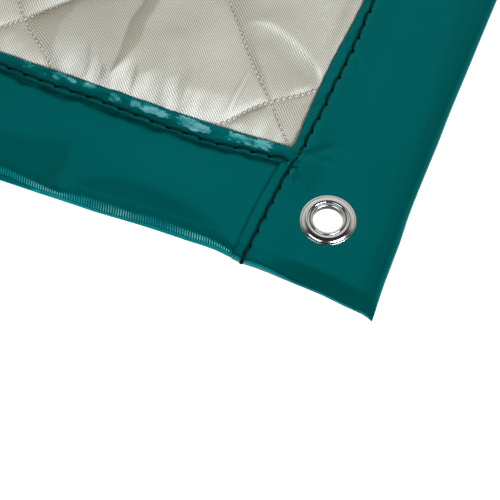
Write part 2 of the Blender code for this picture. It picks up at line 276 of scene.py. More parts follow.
# Line of the curved ridge in the corner diamond. Columns: x inset, y inset
CRESCENT = (
    (66, 117.0), (75, 126.3), (83, 132.3), (92.5, 137.0), (103, 140.7), (112.5, 142.2),
    (119.5, 141.3), (124.6, 139.0), (128.5, 136.0),
)

# Insets from the right edge between which the curved ridge rises, and between which it fades
CRESCENT_SPAN = (66.0 * MM, 74.0 * MM, 108.0 * MM, 128.0 * MM)

# Two facets that face left. Columns: y inset, x inset of the foot; and y inset, width from foot to
# crest. Then each one's slope, and the dip behind its foot as a share of its width
FACET_FEET = (
    ((72, 178.0), (77, 178.1), (90, 178.2), (105, 180.0), (114, 181.3), (125, 180.5), (150, 179.0)),
    ((70, 212), (76, 216), (86, 226), (98, 238), (112, 225), (122, 216), (150, 216)),
)
FACET_WIDTHS = (
    (
        (74, 1.0), (77, 1.5), (84, 3.2), (90, 5.6), (99, 9.8), (111, 10.2), (123, 10.0), (132, 9.0),
        (170, 8.0),
    ),
    ((70, 0.5), (76, 2.5), (86, 12), (98, 22), (112, 11), (121, 3), (128, 0.5), (150, 0.5)),
)

FACET_SLOPES = (0.46, 0.18)
FACET_DIPS = (0.16, 0.0)

# Inset at which the quilting has risen from under the front hem. Columns: x inset, y inset
FRONT_RISE = (
    (74, 88), (95, 91), (108, 93), (118, 91), (126, 89), (133, 87), (136, 85), (139, 88),
    (142, 91), (145, 90), (148, 88), (152, 90), (157, 89), (160, 86), (164, 85), (167, 90),
    (170, 91), (173, 87), (177, 80), (183, 83), (187, 87), (191, 86), (195, 92), (204, 94),
    (211, 92), (216, 90), (235, 95), (260, 90), (300, 96), (340, 87), (610, 92),
)

# Camera, from the perspective of the border's edges
CAMERA_AZIMUTH = math.radians(21.89)
CAMERA_ELEVATION = math.radians(62.94)
CAMERA_DISTANCE = 766.8 * MM
CAMERA_TARGET = Vector((538.1, -594.8, 0.0)) * MM
CAMERA_LENS = 108.0


def ramp(start, end, value):
    """0 up to start, 1 from end on, and straight between them."""
    return np.clip((value - start) / (end - start), 0, 1)


def ease(start, end, value):
    """0 up to start, 1 from end on, and a smooth S between them."""
    share = ramp(start, end, value)
    return share * share * (3 - 2 * share)


def hump(rise_start, rise_end, fall_start, fall_end, value):
    """0, then 1 between two smooth slopes, then 0 again."""
    return ease(rise_start, rise_end, value) * (1 - ease(fall_start, fall_end, value))


def run_of(place):
    """Distance in from the nearer end of an edge, or from the nearer of two opposite edges."""
    return HALF_SIZE - np.abs(place)


def inset_of(x, y):
    """Distance in from the nearest of the four edges."""
    return HALF_SIZE - np.maximum(np.abs(x), np.abs(y))


def bell(distance, reach):
    """1 at no distance, falling to 0 as exp(-(distance / reach) squared)."""
    return np.exp(-((distance / reach) ** 2))


def curve(table, place):
    """Reads a table in mm at places in metres: a cubic through its rows, level at both ends."""
    places, values = np.array(table, float).T
    slopes = np.gradient(values, places)
    slopes[[0, -1]] = 0
    at = np.clip(np.asarray(place) / MM, places[0], places[-1])
    left = np.clip(np.searchsorted(places, at, side="right") - 1, 0, len(places) - 2)
    width = places[left + 1] - places[left]
    t = (at - places[left]) / width
    rest = 1 - t
    start = values[left] * (1 + 2 * t) * rest**2 + slopes[left] * width * t * rest**2
    end = values[left + 1] * t**2 * (3 - 2 * t) - slopes[left + 1] * width * t**2 * rest
    return (start + end) * MM


def rumple(x, y, length, seed):
    """Soft uneven waves about length apart: twelve sine waves in seeded directions, added up."""
    random = np.random.default_rng(seed)
    total = np.zeros(np.broadcast(x, y).shape)
    for _ in range(12):
        turn, phase = random.uniform(0, 2 * np.pi, 2)
        rate = 2 * np.pi / (length * random.uniform(0.7, 1.5))
        total += np.sin(rate * (x * np.cos(turn) + y * np.sin(turn)) + phase)
    return total / math.sqrt(6)


def creases(table, x, y):
    """Ridges and troughs: across a straight line each falls as exp(-(distance / reach)^sharpness).

    Its reach differs on its two sides and grows, with its height, from its start to its end.
    """
    raised = np.zeros(np.broadcast(x, y).shape)
    for start_x, start_y, end_x, end_y, height, left, right, sharpness, first in table:
        start = np.array([HALF_SIZE - start_x * MM, start_y * MM - HALF_SIZE])
        way = np.array([start_x - end_x, end_y - start_y]) * MM
        length = np.hypot(*way)
        along = ((x - start[0]) * way[0] + (y - start[1]) * way[1]) / length
        off = ((x - start[0]) * way[1] - (y - start[1]) * way[0]) / length
        share = np.clip(along / length, 0, 1)
        size = first + (1 - first) * share
        across = np.abs(off) / (np.where(off > 0, right, left) * MM * size)
        past = np.abs(along - share * length)
        raised += height * MM * size * np.exp(-(across**sharpness)) * bell(past, 4 * MM)
    return raised


def crescent_place(x, y):
    """Distance behind the curved ridge's line, and how much of the ridge is there."""
    inset = HALF_SIZE - x
    off = HALF_SIZE + y - curve(CRESCENT, inset)
    return off, hump(*CRESCENT_SPAN, inset) * (y < 0)


def crescent(x, y):
    """A curved ridge: steep in front of its line, gentle behind it, with a hollow before it."""
    off, present = crescent_place(x, y)
    ridge = np.exp(-np.abs(off / np.where(off < 0, 2.0 * MM, 11.0 * MM)) ** 1.6)
    return (2.4 * ridge - 1.1 * bell(off + 8 * MM, 5 * MM)) * MM * present


def facet_place(number, x, y):
    """Distance to the right of the facet's foot, and its width there."""
    inset = HALF_SIZE + y
    return x - HALF_SIZE + curve(FACET_FEET[number], inset), curve(FACET_WIDTHS[number], inset)


def facet(number, x, y):
    """Cloth that rises to its right from a sharp foot to a crest, then slowly falls back."""
    off, width = facet_place(number, x, y)
    rise = FACET_SLOPES[number] * (1 - (1 - np.clip(off / width, 0, 1)) ** 1.3)
    behind = FACET_DIPS[number] * np.exp(-np.abs(np.minimum(off, 0) / (24 * MM)) ** 1.1)
    beyond = bell(np.maximum(off - width, 0), 42 * MM)
    return width * (rise * beyond - behind) * (y < 0) * (x > 0)


def mesh_piece(name, points, faces, material, uv=None, **attributes):
    """A smooth piece at the origin from points, faces and values for each point."""
    mesh = bpy.data.meshes.new(name)
    mesh.from_pydata(points.reshape(-1, 3).tolist(), [], faces.tolist())
    mesh.shade_smooth()
    mesh.materials.append(material)
    if uv is not None:
        corners = np.empty(len(mesh.loops), np.int32)
        mesh.loops.foreach_get("vertex_index", corners)
        layer = mesh.uv_layers.new(name="cloth")
        layer.data.foreach_set("uv", uv.reshape(-1, 2)[corners].astype(np.float32).ravel())
    for label, values in attributes.items():
        attribute = mesh.attributes.new(label, "FLOAT", "POINT")
        attribute.data.foreach_set("value", values.astype(np.float32).ravel())
    piece = bpy.data.objects.new(name, mesh)
    bpy.context.scene.collection.objects.link(piece)
    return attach(piece, "root")


def grid_faces(rows, columns, closed=False):
    """The four corners of each cell of a grid of points, which may close on itself both ways."""
    number = np.arange(rows * columns).reshape(rows, columns)
    if closed:
        number = np.pad(number, ((0, 1), (0, 1)), mode="wrap")
    cell = [number[:-1, :-1], number[1:, :-1], number[1:, 1:], number[:-1, 1:]]
    return np.stack(cell, axis=-1).reshape(-1, 4)


# Border


class Edge:
    """One edge of the outline: a signed place along it and an inset give x and y."""

    def __init__(self, name):
        self.name = name
        self.upright = name in ("left", "right")
        self.sign = 1 if name in ("right", "back") else -1
        if self.upright:
            corners = [(name, "front"), (name, "back")]
            self.bow, self.inner, self.stitching = SIDE_BOW, SIDE_INNER, SIDE_STITCHING
            self.droop, self.reach = SIDE_DROOP, 0.0
        else:
            corners = [("left", name), ("right", name)]
            self.bow, self.inner, self.stitching = FRONT_BOW, FRONT_INNER, FRONT_STITCHING
            self.droop, self.reach = FRONT_DROOP, LAP_REACH
        self.strengths = [CORNER_STRENGTH[corner] for corner in corners]

    def plan(self, along, inset):
        """The x and y of a place on this edge."""
        across = self.sign * (HALF_SIZE - inset)
        return (across, along) if self.upright else (along, across)

    def strength(self, along):
        """How strongly the nearer corner is drawn in."""
        return np.where(along < 0, *self.strengths)

    def stitch_inset(self, along):
        """Inset of the stitching at a place along the edge."""
        drawn = curve(self.stitching, run_of(along)) - PLAIN_STITCHING
        return PLAIN_STITCHING + self.strength(along) * drawn


def middle_height(x, y):
    """Height of the middle of the border's cloth: higher where it holds the panel's edge."""
    across = ease(*THICKENING, run_of(x))
    along = ease(*THICKENING, run_of(y))
    return FLAT_MIDDLE + (EDGE_MIDDLE - FLAT_MIDDLE) * np.minimum(across, along)


def half_thickness(edge, run, inset):
    """Half the folded thickness, more over the panel's edge and over the other strips' ends."""
    thick = FILLED_HALF
    if edge.upright:
        thick = LAPPED_HALF + (FILLED_HALF - LAPPED_HALF) * ease(*LAP_FADE, run)
    return EMPTY_HALF + (thick - EMPTY_HALF) * ease(*THICKENING, inset)


def border_relief(edge, x, y, along, run, inset, tip):
    """What lies on the plain strip: its swollen fold, its waves, and the pull of its stitching."""
    drooping = np.maximum(edge.strength(along) * curve(edge.droop, run) - tip, 0)
    if edge.upright:
        swell = -SIDE_DROOP_SLOPE * drooping
    else:
        pinch = hump(*PINCH, run)
        swell = -FRONT_DROOP_SLOPE * drooping * (1 - pinch)
    soft = WAVE * rumple(x, y, WAVE_LENGTH, 3) * ease(*WAVE_RISE, tip)
    off = inset - edge.stitch_inset(along)
    beat = np.cos(np.pi * along / BORDER_STITCH) ** 2
    valley = -STITCH_VALLEY * bell(off, VALLEY_REACH) - NEEDLE_DIP * bell(off, DIP_REACH) * beat
    pucker = PUCKER * (beat - 0.5) * bell(off, PUCKER_REACH)
    hem = ease(0, HEM_RISE, off)
    crinkle = CRINKLE * rumple(x, y, CRINKLE_LENGTH, 5) * hem
    if edge.upright:
        crinkle = crinkle * ease(*SIDE_CRINKLE_RUN, run)
    else:
        below = (-off - HEM_STEP_START) / band_reach(x, y, run)
        crinkle = crinkle + HEM_STEP * (1 - ease(0, 1, below))
        crinkle = crinkle + HEM_SLOPE * np.clip(off - 0.5 * MM, 0, HEM_SLOPE_REACH)
    rolled = -ROLLED_DEPTH * ease(*ROLLED_FADE, off)
    plain = (swell + soft * (1 - hem)) * (1 - grommet_nearness(x, y))
    return plain + valley + pucker + crinkle + rolled


def band_reach(x, y, run):
    """How far the hem's shadowed lower edge reaches below the front stitching."""
    grown = SHADOW_REACH + SHADOW_GROWTH * ease(*SHADOW_GROWS, run)
    return (grown + SHADOW_WAVE * rumple(x, y, SHADOW_WAVE_LENGTH, 9)) * MM


def grommet_places():
    """Name of each grommet, and its x and y."""
    side = HALF_SIZE - GROMMET_INSET
    corner = HALF_SIZE - CORNER_GROMMET_RUN
    ends = (("front", -corner), ("middle", 0.0), ("back", corner))
    places = []
    for name, x in (("left", -side), ("right", side)):
        places += [(f"{name}_{end}", x, y) for end, y in ends]
    return places + [("front_middle", 0.0, -side), ("back_middle", 0.0, side)]


def grommet_nearness(x, y):
    """1 under each grommet's ring, fading to 0 a little way outside it."""
    near = np.zeros(np.broadcast(x, y).shape)
    for _, centre_x, centre_y in grommet_places():
        far = np.hypot(x - centre_x, y - centre_y)
        near = np.maximum(near, 1 - ease(RING_REACH, 2 * RING_REACH, far))
    return near


def spaced(*spans):
    """Places from spans of start, end and step in mm, each without its end, in metres."""
    return np.concatenate([np.arange(start, end, step) for start, end, step in spans]) * MM


# Spans of run, in mm: start, end and step of a strip's rows, past those at its end
FINE_ROWS = ((None, 228, 1.45), (228, 588, 6.5), (588, 609.6, 3))
PLAIN_ROWS = ((None, 100, 3), (100, 588, 6.5), (588, 609.6, 3))
FOLDED_END_ROWS = np.array([0, 0.15, 0.35, 0.6, 0.9, 1.2, 1.5, 1.9, 2.4, 3.3, 4.6, 6.2, 8.0]) * MM


def strip_rows(edge):
    """Places along the strip, close together where the photo shows it."""
    ends = FOLDED_END_ROWS if edge.upright else np.array([STRIP_END])
    first = ends[-1] / MM + 1.5
    halves = []
    for fine in (edge.name == "right", edge.name == "front"):
        (_, end, step), *others = FINE_ROWS if fine else PLAIN_ROWS
        halves.append(np.concatenate([ends, spaced((first, end, step), *others)]))
    return np.concatenate([halves[0] - HALF_SIZE, [0.0], HALF_SIZE - halves[1][::-1]])


# Distances in from the fold's tip: out over the upper face to the tip, and back under it
TOP_COLUMNS = np.concatenate([
    spaced((74.0, 60.0, -0.95), (60.0, 52.0, -1.6), (52.0, 10.0, -2.8), (10.0, 7.0, -1.3)),
    np.array([6.4, 5.5, 4.8, 4.2, 3.7, 3.2, 2.8, 2.5, 2.3, 2.1, 1.95, 1.8, 1.6, 1.4]) * MM,
    np.array([1.15, 0.9, 0.65, 0.4, 0.25, 0.12, 0.04, 0.0]) * MM,
])
UNDER_COLUMNS = MM * np.array(
    [0.1, 0.3, 0.6, 1.0, 1.6, 2.6, 6, 12, 20, 28, 34, 40, 46, 52, 57, 62, 68, 74]
)


def fold_share(is_top, fold, far):
    """Share of the cloth's full height at a distance in from a fold."""
    return np.where(is_top, curve(fold, far), curve(UNDER_FOLD, far)) / MM


def cut_eyelets(x, y):
    """Draws the points inside each eyelet to its rim, and gives the faces that are left."""
    inside = np.zeros(x.shape, bool)
    for _, centre_x, centre_y in grommet_places():
        far = np.hypot(x - centre_x, y - centre_y)
        within = far < EYELET_RADIUS
        pull = np.where(within, EYELET_RADIUS / np.maximum(far, 1e-6), 1.0)
        x = centre_x + (x - centre_x) * pull
        y = centre_y + (y - centre_y) * pull
        inside |= within
    faces = grid_faces(*x.shape)
    return x, y, faces[~inside.ravel()[faces].all(axis=1)]


def strip_marks(edge, x, y, along, run, tip, column, off, is_top):
    """What the vinyl's finish needs at each point: painted reflections, ribs with a painted
    highlight, tone, and place past the stitching.

    Tone paints light and shade into the colour. Near 1 it is the painted light of the front fold's
    lip and of lines at a side strip's end; between about 0.05 and 0.4 it is painted shade, in the
    groove beside the lip and along the side strips' folds. Below 0 it is painted shade in the band
    under the front stitching, and on the line where a side strip laps over the front or back one.
    """
    lip = 1 - ease(0.9 * MM, 1.4 * MM, column)
    if edge.upright:
        # Painted light in two lines at the strip's end, painted shade along its fold, and a painted
        # shadow on the lap line.
        lines = 1 - ease(0.3 * MM, 0.6 * MM, run)
        lines = lines + hump(0.9 * MM, 1.2 * MM, 1.2 * MM, 1.9 * MM, run)
        tone = np.maximum(0.4 * lip, 0.8 * lines * ease(36 * MM, 50 * MM, tip))
        tone = tone - ease(72.6 * MM, 73.4 * MM, column) * (1 - ease(64 * MM, 68 * MM, run))
        ribs = 0.0
    else:
        # Painted shade in a band below the front stitching.
        band = ease(0.4 * MM, 1.1 * MM, -off) * (1 - ease(0.8, 1.15, -off / band_reach(x, y, run)))
        tone = lip - band
        # Ribs above the lip; the finish gives their teeth a painted highlight.
        up_band = (column - LIP) / curve(RIBBED_BAND, run)
        ribs = ease(1.25 * MM, 1.6 * MM, column) * (1 - ease(0.85, 1.15, up_band))
        ribs = ribs * curve(RIB_STRENGTH, run) / MM
    # Painted reflections on the hem.
    painted_reflection = painted_hem_reflections(edge, along, off)
    return {"painted_reflection": painted_reflection * is_top, "ribs": ribs * is_top, "tone": tone * is_top, "off": off / MM}


def border_strip(edge, material):
    """A folded strip of vinyl: rows follow the edge, columns go out over the top and back under.

    Height is the cloth's middle plus or minus half its thickness and relief, times the fold's
    share of it, which falls to 0 at the fold's tip and, in the side strips, at their ends too.
    """
    along = strip_rows(edge)[:, None]
    column = np.concatenate([TOP_COLUMNS, UNDER_COLUMNS])[None, :]
    is_top = (np.arange(column.size) < TOP_COLUMNS.size)[None, :]
    run = run_of(along)
    tip = column
    if not edge.upright:
        wider = (curve(LIP_WIDTH, run) - LIP) * is_top
        tip = column + wider * (ramp(0, LIP, column) - ease(LIP, LIP_FADE, column))

    strength = edge.strength(along)
    outer = strength * curve(edge.bow, run) + edge.reach
    inset = tip + outer * (1 - ease(0, BOW_FADE, tip))
    inset = inset + strength * curve(edge.inner, run) * ease(INNER_FADE, BORDER_INSET, tip)
    share = fold_share(is_top, PLAIN_FOLD if edge.upright else LIPPED_FOLD, column)
    end_run, end_share, from_edge = run, 1.0, tip
    if edge.upright:
        end_run = run + strength * curve(END_BOW, inset) * (1 - ease(0, BOW_FADE, run))
        end_share = fold_share(is_top, SHARP_FOLD, run)
        from_edge = np.minimum(tip, run)
    place = np.sign(along) * (HALF_SIZE - end_run) + 0 * tip
    x, y = edge.plan(place, inset)

    middle = middle_height(x, y)
    half = half_thickness(edge, end_run, inset)
    relief = border_relief(edge, x, y, place, end_run, inset, from_edge)
    relief = relief + creases(BORDER_CREASES, x, y)
    if edge.upright:
        pressed = 1 - ease(*PRESSED_INSET, inset)
        relief = relief - PRESSED_DOWN * pressed * (1 - ease(*PRESSED_RUN, run))
    lying = ease(0, LYING_FADE, from_edge)
    under = UNDER_GAP * (1 - lying) + (middle - half) * lying
    level = np.where(is_top, middle + half + relief, under)
    z = TIP_HEIGHT + (level - TIP_HEIGHT) * share * end_share

    x, y, faces = cut_eyelets(x, y)
    if (edge.sign > 0) == edge.upright:
        faces = faces[:, ::-1]
    off = inset - edge.stitch_inset(place)
    marks = strip_marks(edge, x, y, place, run, tip, column, off, is_top)
    kept, faces = np.unique(faces, return_inverse=True)
    points = np.stack([x, y, z], axis=-1).reshape(-1, 3)[kept]
    uv = np.stack(np.broadcast_arrays(place, np.where(is_top, tip, -tip)), axis=-1)
    marks = {label: (values + 0 * x).ravel()[kept] for label, values in marks.items()}
    faces, uv = faces.reshape(-1, 4), uv.reshape(-1, 2)[kept]
    strip = mesh_piece(f"border_{edge.name}", points, faces, material, uv, **marks)
    wall = strip.modifiers.new("cloth", "SOLIDIFY")
    wall.thickness = CLOTH
    wall.offset = -1
    return strip


# Painted reflections on the front hem. Columns: run of one, half its length, its distance from the
# stitching, half its width, how strong it is
HEM_REFLECTIONS = (
    (224.3, 3.2, 6.2, 2.6, 0.8), (214, 2.5, 4.4, 1.4, 0.45), (205.0, 3.8, 6.2, 2.7, 1.0),
    (198.3, 3.4, 6.2, 1.9, 0.85), (187.8, 3.6, 6.4, 2.2, 0.95), (171.8, 3.8, 4.6, 2.8, 0.95),
    (159.8, 3.4, 5.6, 2.8, 0.9), (151.0, 4.6, 6.2, 2.9, 1.1), (143.8, 4.6, 5.8, 2.4, 1.0),
    (130.5, 5.0, 6.4, 2.9, 1.1), (121.8, 6.0, 5.8, 2.9, 1.1), (102.3, 4.8, 6.2, 2.8, 1.1),
    (96.3, 3.4, 5.0, 2.2, 0.9), (88.0, 5.4, 5.6, 3.2, 1.1),
)
SEEDED_REFLECTION_RUNS = np.arange(245, 610, 17)


def painted_hem_reflections(edge, along, off):
    """Painted reflections on the hem: rounded spots at measured places, and seeded ones beyond
    them.
    """
    run, off = run_of(along) / MM, off / MM
    if edge.upright:
        # A painted reflection near the right strip's corner.
        corner_reflection = np.exp(-(((run - 76) / 2.6) ** 4) - (((off - 6.5) / 2.0) ** 4))
        return 0.9 * corner_reflection * (edge.sign > 0)
    reflection_patches = list(HEM_REFLECTIONS)
    random = np.random.default_rng(11 + edge.sign)
    for place in SEEDED_REFLECTION_RUNS + random.uniform(-5, 5, len(SEEDED_REFLECTION_RUNS)):
        width = random.uniform(1.8, 3.6)
        reflection_patches.append((place, random.uniform(3, 8), 8.2 - width, width, random.uniform(0.7, 1.1)))
    painted_reflection = np.zeros(np.broadcast(run, off).shape)
    for place, half_length, middle, half_width, amount in reflection_patches:
        round_off = np.abs((run - place) / half_length) ** 2.6 + ((off - middle) / half_width) ** 4
        painted_reflection = np.maximum(painted_reflection, amount * np.exp(-round_off))
    return painted_reflection


# Quilt


def seam_push(x, y):
    """How far the seams wander from straight lines, most near the front right corner."""
    shift_x = SEAM_WAVE * np.sin(11.0 * x + 3.0 * y)
    shift_y = SEAM_WAVE * np.sin(9.0 * y - 4.0 * x)
    for inset_x, inset_y, push_x, push_y, reach in SEAM_PUSHES:
        far = np.hypot(x - HALF_SIZE + inset_x * MM, y + HALF_SIZE - inset_y * MM)
        near = bell(far, reach * MM)
        shift_x = shift_x * (1 - near) + push_x * MM * near
        shift_y = shift_y * (1 - near) + push_y * MM * near
    return shift_x, shift_y


WINDOW_ACROSS = (-23 * COARSE, 5 * COARSE)
WINDOW_ALONG = (-6 * COARSE, 12 * COARSE)
PANEL_ACROSS = (-147 * COARSE, 5 * COARSE)
PANEL_ALONG = (-6 * COARSE, 146 * COARSE)


def quilt_place(across, along):
    """Plan of the quilting's lattice: even steps, held inside the cut edge, bent with the seams."""
    limit = HALF_SIZE - PANEL_EDGE
    x = np.clip(HALF_SIZE - CROSSING_INSET_RIGHT + across * FINE_STEP, -limit, limit)
    y = np.clip(CROSSING_INSET_FRONT - HALF_SIZE + along * FINE_STEP, -limit, limit)
    inset = inset_of(x, y)
    loose = ease(*SEAM_LOOSENING, inset)
    shift_x, shift_y = seam_push(x, y)
    return x + loose * shift_x, y + loose * shift_y


def seam_distances(across, along):
    """Distance from the nearest falling seam and from the nearest rising one."""
    cells = 2 * FINE_PER_HALF
    falling, rising = (across + along) / cells, (along - across) / cells
    far = [np.abs(share - np.round(share)) * DIAMOND for share in (falling, rising)]
    return far[0], far[1], falling, rising


def seam_gathers(to_seam, along_seam, length, bend):
    """Small gathers that run into a seam: a bent sine wave along it, fading away from it."""
    wave = np.sin(2 * np.pi * along_seam * DIAMOND / length + 2 * np.sin(bend))
    return wave * bell(to_seam, GATHER_REACH)


def quilt_top(across, along):
    """The panel's upper face: pillows between the seams, with creases, gathers and stitch pulls.

    A pillow's height is the product of two rounded profiles, one for each family of seams, and
    fades to the flat pressed edge under the border.
    """
    x, y = quilt_place(across, along)
    to_falling, to_rising, falling, rising = seam_distances(across, along)
    crown = pillow_side(to_falling) * pillow_side(to_rising)
    uneven = np.sin(2.1 * np.floor(falling) + 3.3 * np.floor(rising))
    raised = SEAM_TOP + CROWN * crown * (1 - UNEVEN_CROWN + UNEVEN_CROWN * uneven)
    gather = seam_gathers(to_falling, rising, GATHERS_FALLING, 5 * falling)
    gather += seam_gathers(to_rising, falling, GATHERS_RISING, 4 * rising)
    raised += GATHER * gather * crown
    swell = SWELL * rumple(x, y, SWELL_LENGTH, 1) + DIMPLE * rumple(x, y, DIMPLE_LENGTH, 2)
    raised += swell * crown
    nearest = np.minimum(to_falling, to_rising)
    folds = (creases(PANEL_CREASES, x, y) + crescent(x, y)) * ease(0, 4 * MM, nearest)
    folds += facet(0, x, y) * ease(0, 20 * MM, to_falling) * ease(0, 20 * MM, to_rising)
    folds += facet(1, x, y) * ease(0, 5 * MM, nearest)
    folds *= ease(*FOLDS_RISE, inset_of(x, y))
    pull = stitch_pull(to_falling, rising * DIAMOND) + stitch_pull(to_rising, falling * DIAMOND)
    raised += window_share(across, along) * pull
    loft = rise_from_hems(x, y)
    return x, y, PRESSED_TOP * (1 - loft) + raised * loft + folds


def rise_from_hems(x, y):
    """0 where the hems press the panel flat, 1 in the open: sooner at the front and back."""
    side_start = SIDE_RISE_START + curve(SIDE_INNER, run_of(y))
    from_side = ramp(0, 1, (run_of(x) - side_start) / SIDE_RISE)
    return (1 - (1 - from_side) ** 1.3) * (1 - (1 - front_share(x, y)) ** 1.5)


def front_share(x, y):
    """0 at the front or back hem's inner edge, 1 where the quilting has risen from under it."""
    run = run_of(x)
    start = FRONT_RISE_START + curve(FRONT_INNER, run)
    return ramp(0, 1, (run_of(y) - start) / (curve(FRONT_RISE, run) - start))


def satin_gleam(x, y, across, along):
    """Light and shade painted into the satin's colour: towards 1 a painted highlight, towards -1
    painted shade.

    The highlight is painted on the upper left side of the rising seams, where the cloth rises from
    the front hem and on the curved ridge; the shade on the seams' other side, in the hollow before
    the ridge and on the facets.
    """
    _, _, _, rising = seam_distances(across, along)
    side = (rising - np.round(rising)) * DIAMOND
    beside = np.exp(-np.abs(side) / (8 * MM)) * ease(0, 1.5 * MM, np.abs(side))
    gleam = np.where(side > 0, 0.6, -0.15) * beside
    share = front_share(x, y)
    front = (0.55 + 0.2 * rumple(x, y, 11 * MM, 4)) * (1 - share) ** 0.8
    gleam = gleam + front * ease(0, 0.1, share)
    off, present = crescent_place(x, y)
    ridge = 0.55 * bell(off + 0.8 * MM, 2.4 * MM) - 0.2 * bell(off + 9 * MM, 6 * MM)
    gleam = gleam + present * ridge
    for number in (0, 1):
        off, width = facet_place(number, x, y)
        within = ease(-0.6 * MM, 0.6 * MM, off) * (1 - ease(-1.0 * MM, 1.0 * MM, off - width))
        gleam = gleam - 0.4 * within * (y < 0) * (x > 0) * ease(0, 1.5 * MM, width)
    return gleam


def pillow_side(distance):
    """Rise of a pillow from its seam: steep at first, then level, from 0 to 1."""
    share = np.clip(distance / (DIAMOND / 2), 0, 1)
    steep = 1 - np.exp(-distance / STEEP_REACH)
    return ROUND_SHARE * np.sin(share * np.pi / 2) + STEEP_SHARE * steep


def stitch_pull(distance, place):
    """Cloth drawn down along a seam, and further where the needle went in."""
    beat = np.cos(np.pi * place / QUILT_STITCH) ** 2
    pucker = BESIDE_STITCH * (0.5 - beat) * bell(distance - BESIDE_OFF, BESIDE_REACH)
    return -STITCH_PULL * bell(distance, PULL_REACH) * beat + pucker


def window_share(across, along):
    """1 where the lattice is fine, 0 in the rest."""
    inside = (across >= WINDOW_ACROSS[0]) & (along <= WINDOW_ALONG[1])
    return inside.astype(float)


def quilt_under(across, along):
    """The panel's under face: shallow pillows that rest on the floor."""
    x, y = quilt_place(across, along)
    to_falling, to_rising, _, _ = seam_distances(across, along)
    crown = np.sqrt(pillow_side(to_falling) * pillow_side(to_rising))
    inset = inset_of(x, y)
    loft = ease(*UNDER_RISE, inset)
    lowered = np.maximum(0, SEAM_UNDER - UNDER_FALL * crown)
    return x, y, PRESSED_UNDER * (1 - loft) + lowered * loft


KEY_STRIDE = 4096


def lattice_key(across, along):
    """One number for each lattice point of the upper face."""
    return (across - PANEL_ACROSS[0]) * KEY_STRIDE + (along - PANEL_ALONG[0])


def cell_triangles(across, along, size):
    """Two triangles for each cell, split the way the nearer seam runs."""
    corners = [
        lattice_key(across, along), lattice_key(across + size, along),
        lattice_key(across + size, along + size), lattice_key(across, along + size),
    ]
    to_falling, to_rising, _, _ = seam_distances(across + size / 2, along + size / 2)
    low, right, far, left = corners
    falls = (to_falling < to_rising)[:, None]
    first = np.where(falls, np.stack([low, right, left], 1), np.stack([low, right, far], 1))
    second = np.where(falls, np.stack([right, far, left], 1), np.stack([low, far, left], 1))
    return np.vstack([first, second])


def lattice_cells(across_span, along_span, size):
    """Low corners of all cells of one size in a rectangle of the lattice."""
    across, along = np.meshgrid(np.arange(*across_span, size), np.arange(*along_span, size))
    return across.ravel(), along.ravel()


def fans(across, along, apex, start, step, last):
    """Triangles from one corner of each large cell to the small steps of the side that it faces."""
    path = [np.add(start, np.multiply(step, number)) for number in range(COARSE + 1)] + [last]
    rim = [lattice_key(across + place[0], along + place[1]) for place in path]
    tip = lattice_key(across + apex[0], along + apex[1])
    return np.vstack([np.stack([tip, first, second], 1) for first, second in zip(rim, rim[1:])])


def upper_triangles():
    """Small cells in the window, large ones round it, and fans that join the two without a gap."""
    across, along = lattice_cells(PANEL_ACROSS, PANEL_ALONG, COARSE)
    beside = (across == WINDOW_ACROSS[0] - COARSE) & (along < WINDOW_ALONG[1])
    behind = (along == WINDOW_ALONG[1]) & (across >= WINDOW_ACROSS[0])
    inside = (across >= WINDOW_ACROSS[0]) & (along < WINDOW_ALONG[1])
    plain = ~(beside | behind | inside)
    size = COARSE
    return np.vstack([
        cell_triangles(*lattice_cells(WINDOW_ACROSS, WINDOW_ALONG, 1), 1),
        cell_triangles(across[plain], along[plain], size),
        fans(across[beside], along[beside], (0, 0), (size, 0), (0, 1), (0, size)),
        fans(across[behind], along[behind], (0, size), (0, 0), (1, 0), (size, size)),
    ])


def rim_triangles(upper, under, start):
    """A wall between a loop of points and a shorter one under it, both given by their numbers.

    start holds where each point of the shorter loop stands in the longer one.
    """
    owner = np.searchsorted(start, np.arange(len(upper)), side="right") - 1
    fans_down = np.stack([upper, under[owner], np.roll(upper, -1)], 1)
    ends = np.append(start[1:], len(upper)) % len(upper)
    feet = np.stack([under, np.roll(under, -1), upper[ends]], 1)
    return np.vstack([fans_down, feet])


def border_loop(across_lines, along_lines):
    """Lattice points round a rectangle's border, counterclockwise from its low corner."""
    front = np.stack([across_lines[:-1], np.full(len(across_lines) - 1, along_lines[0])], 1)
    right = np.stack([np.full(len(along_lines) - 1, across_lines[-1]), along_lines[:-1]], 1)
    back = np.stack([across_lines[:0:-1], np.full(len(across_lines) - 1, along_lines[-1])], 1)
    left = np.stack([np.full(len(along_lines) - 1, across_lines[0]), along_lines[:0:-1]], 1)
    return np.vstack([front, right, back, left])


def span_steps(span, step):
    """Lattice lines a step apart over a span, with its end."""
    return np.append(np.arange(*span, step), span[1])


